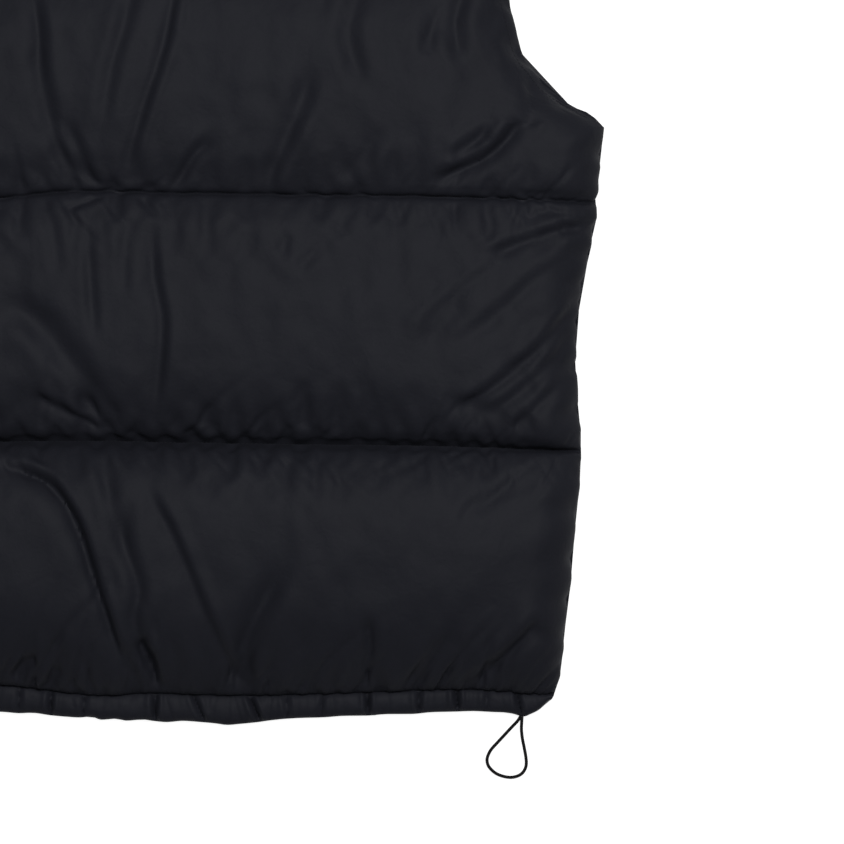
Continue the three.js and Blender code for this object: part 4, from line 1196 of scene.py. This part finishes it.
def new_material(name, colour, roughness, metallic=0.0, specular=0.5):
    material = bpy.data.materials.new(name)
    material.use_nodes = True
    shader = material.node_tree.nodes["Principled BSDF"]
    shader.inputs["Base Color"].default_value = (*colour, 1)
    shader.inputs["Roughness"].default_value = roughness
    shader.inputs["Metallic"].default_value = metallic
    shader.inputs["Specular IOR Level"].default_value = specular
    return material


def shell_material():
    """Fine plain-woven nylon: matt, with a soft sheen, tiny crinkles and slightly worn, lighter patches at
    random.
    """
    material = new_material("shell_nylon", SHELL["colour"], SHELL["roughness"], specular=0.05)
    nodes = Nodes(material)
    nodes.shader.inputs["Sheen Weight"].default_value = 0.01
    nodes.shader.inputs["Sheen Roughness"].default_value = 0.4
    nodes.shader.inputs["Sheen Tint"].default_value = (0.8, 0.85, 1, 1)
    weave = nodes.math("MULTIPLY", nodes.wave("X", 620), nodes.wave("Y", 620))
    crinkle = nodes.noise(170, 3, 0.6)
    soft = nodes.noise(48, 2, 0.8)
    normal = nodes.bump(soft, 0.0006, 0.6)
    normal = nodes.bump(crinkle, 0.00035, 0.7, normal)
    normal = nodes.bump(weave, 0.00005, 0.5, normal)
    mottle = nodes.math("ADD", nodes.math("MULTIPLY", nodes.noise(14, 4), 0.6),
                        nodes.math("MULTIPLY", nodes.noise(420, 2), 0.4))
    nodes.finish(nodes.colour(mottle, SHELL["colour"], SHELL["worn"]), normal)
    return material


def thread_material():
    material = new_material("sewing_thread", THREAD_COLOUR, 0.7, specular=0.08)
    nodes = Nodes(material)
    nodes.finish(normal=nodes.bump(nodes.noise(4000, 1), 0.00004, 0.6))
    return material


def tape_material():
    """Woven zip tape, ribbed along its length."""
    material = new_material("zip_tape_weave", TAPE["colour"], 0.8, specular=0.25)
    nodes = Nodes(material)
    ribs = nodes.math("MULTIPLY", nodes.wave("X", 310), nodes.wave("Y", 520))
    colour = nodes.colour(nodes.noise(900, 2), TAPE["colour"], TAPE["worn"])
    nodes.finish(colour, nodes.bump(ribs, 0.00012, 0.8))
    return material


def metal_material():
    """Dark lacquered metal of the slider, box and teeth, rubbed lighter in places."""
    material = new_material("zip_metal_finish", METAL["colour"], 0.36, metallic=0.85)
    nodes = Nodes(material)
    grain = nodes.noise(900, 3)
    colour = nodes.colour(nodes.noise(260, 3), METAL["colour"], METAL["worn"])
    rough = nodes.math("ADD", nodes.math("MULTIPLY", grain, 0.22), 0.26)
    nodes.finish(colour, nodes.bump(grain, 0.00003, 0.5), rough)
    return material


def cord_material():
    """Braided elastic, slightly fuzzy."""
    material = new_material("cord_braid", CORD["colour"], 0.85, specular=0.06)
    nodes = Nodes(material)
    nodes.shader.inputs["Sheen Weight"].default_value = 0.01
    colour = nodes.colour(nodes.noise(1500, 2), CORD["colour"], CORD["worn"])
    nodes.finish(colour, nodes.bump(nodes.noise(3500, 2), 0.00006, 0.6))
    return material


shell = shell_material()
thread = thread_material()
tape = tape_material()
metal = metal_material()
drawcord.data.materials.append(cord_material())

back_grid = back_panel(shell)
front_grids = {part: front_panel(part, shell) for part in ("left", "right")}
add_collar(shell)
hem_grids = add_hems(shell)
add_sewing(back_grid, front_grids, hem_grids, thread)
add_teeth(metal)

# The zip's own nodes keep their shape and get their finish
SOFT_EDGE = 0.00035
for name, material in (("zip_tape_left", tape), ("zip_tape_right", tape), ("zip_box", metal),
                       ("zip_slider", metal), ("zip_pull", metal)):
    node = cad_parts[name]
    node.data.materials.clear()
    node.data.materials.append(material)
    if material is metal:
        bevel = node.modifiers.new("soft_edge", "BEVEL")
        bevel.width = SOFT_EDGE
        bevel.segments = 2
        bevel.limit_method = "ANGLE"


# The floor, the light and the white all round
FLOOR_SIZE = 12
KEY_LIGHT = {"place": (0.5, 0.75, 3.2), "aim": (0.1, -0.15, 0), "size": 1.6, "power": 128}
WORLD_LIGHT = 0.14
FLOOR_GLOW = 0.93


def add_floor():
    half = FLOOR_SIZE / 2
    corners = [(-half, -half, 0), (half, -half, 0), (half, half, 0), (-half, half, 0)]
    white = new_material("floor_white", (0.2, 0.2, 0.2), 0.9, specular=0.1)
    shader = white.node_tree.nodes["Principled BSDF"]
    shader.inputs["Emission Color"].default_value = (1, 1, 1, 1)
    shader.inputs["Emission Strength"].default_value = FLOOR_GLOW
    floor = add_mesh("floor", [(x, y, -0.0003) for x, y, _ in corners], [(0, 1, 2, 3)], white)


def add_light():
    data = bpy.data.lights.new("key", "AREA")
    data.shape = "DISK"
    data.size = KEY_LIGHT["size"]
    data.energy = KEY_LIGHT["power"]
    light = bpy.data.objects.new("key", data)
    light.location = KEY_LIGHT["place"]
    towards = Vector(KEY_LIGHT["aim"]) - Vector(KEY_LIGHT["place"])
    light.rotation_euler = towards.to_track_quat("-Z", "Y").to_euler()
    bpy.context.scene.collection.objects.link(light)
    world = bpy.data.worlds.new("white")
    world.use_nodes = True
    world.node_tree.nodes["Background"].inputs["Color"].default_value = (1, 1, 1, 1)
    world.node_tree.nodes["Background"].inputs["Strength"].default_value = WORLD_LIGHT
    bpy.context.scene.world = world


add_floor()
add_light()
bpy.context.scene.view_settings.view_transform = "Standard"
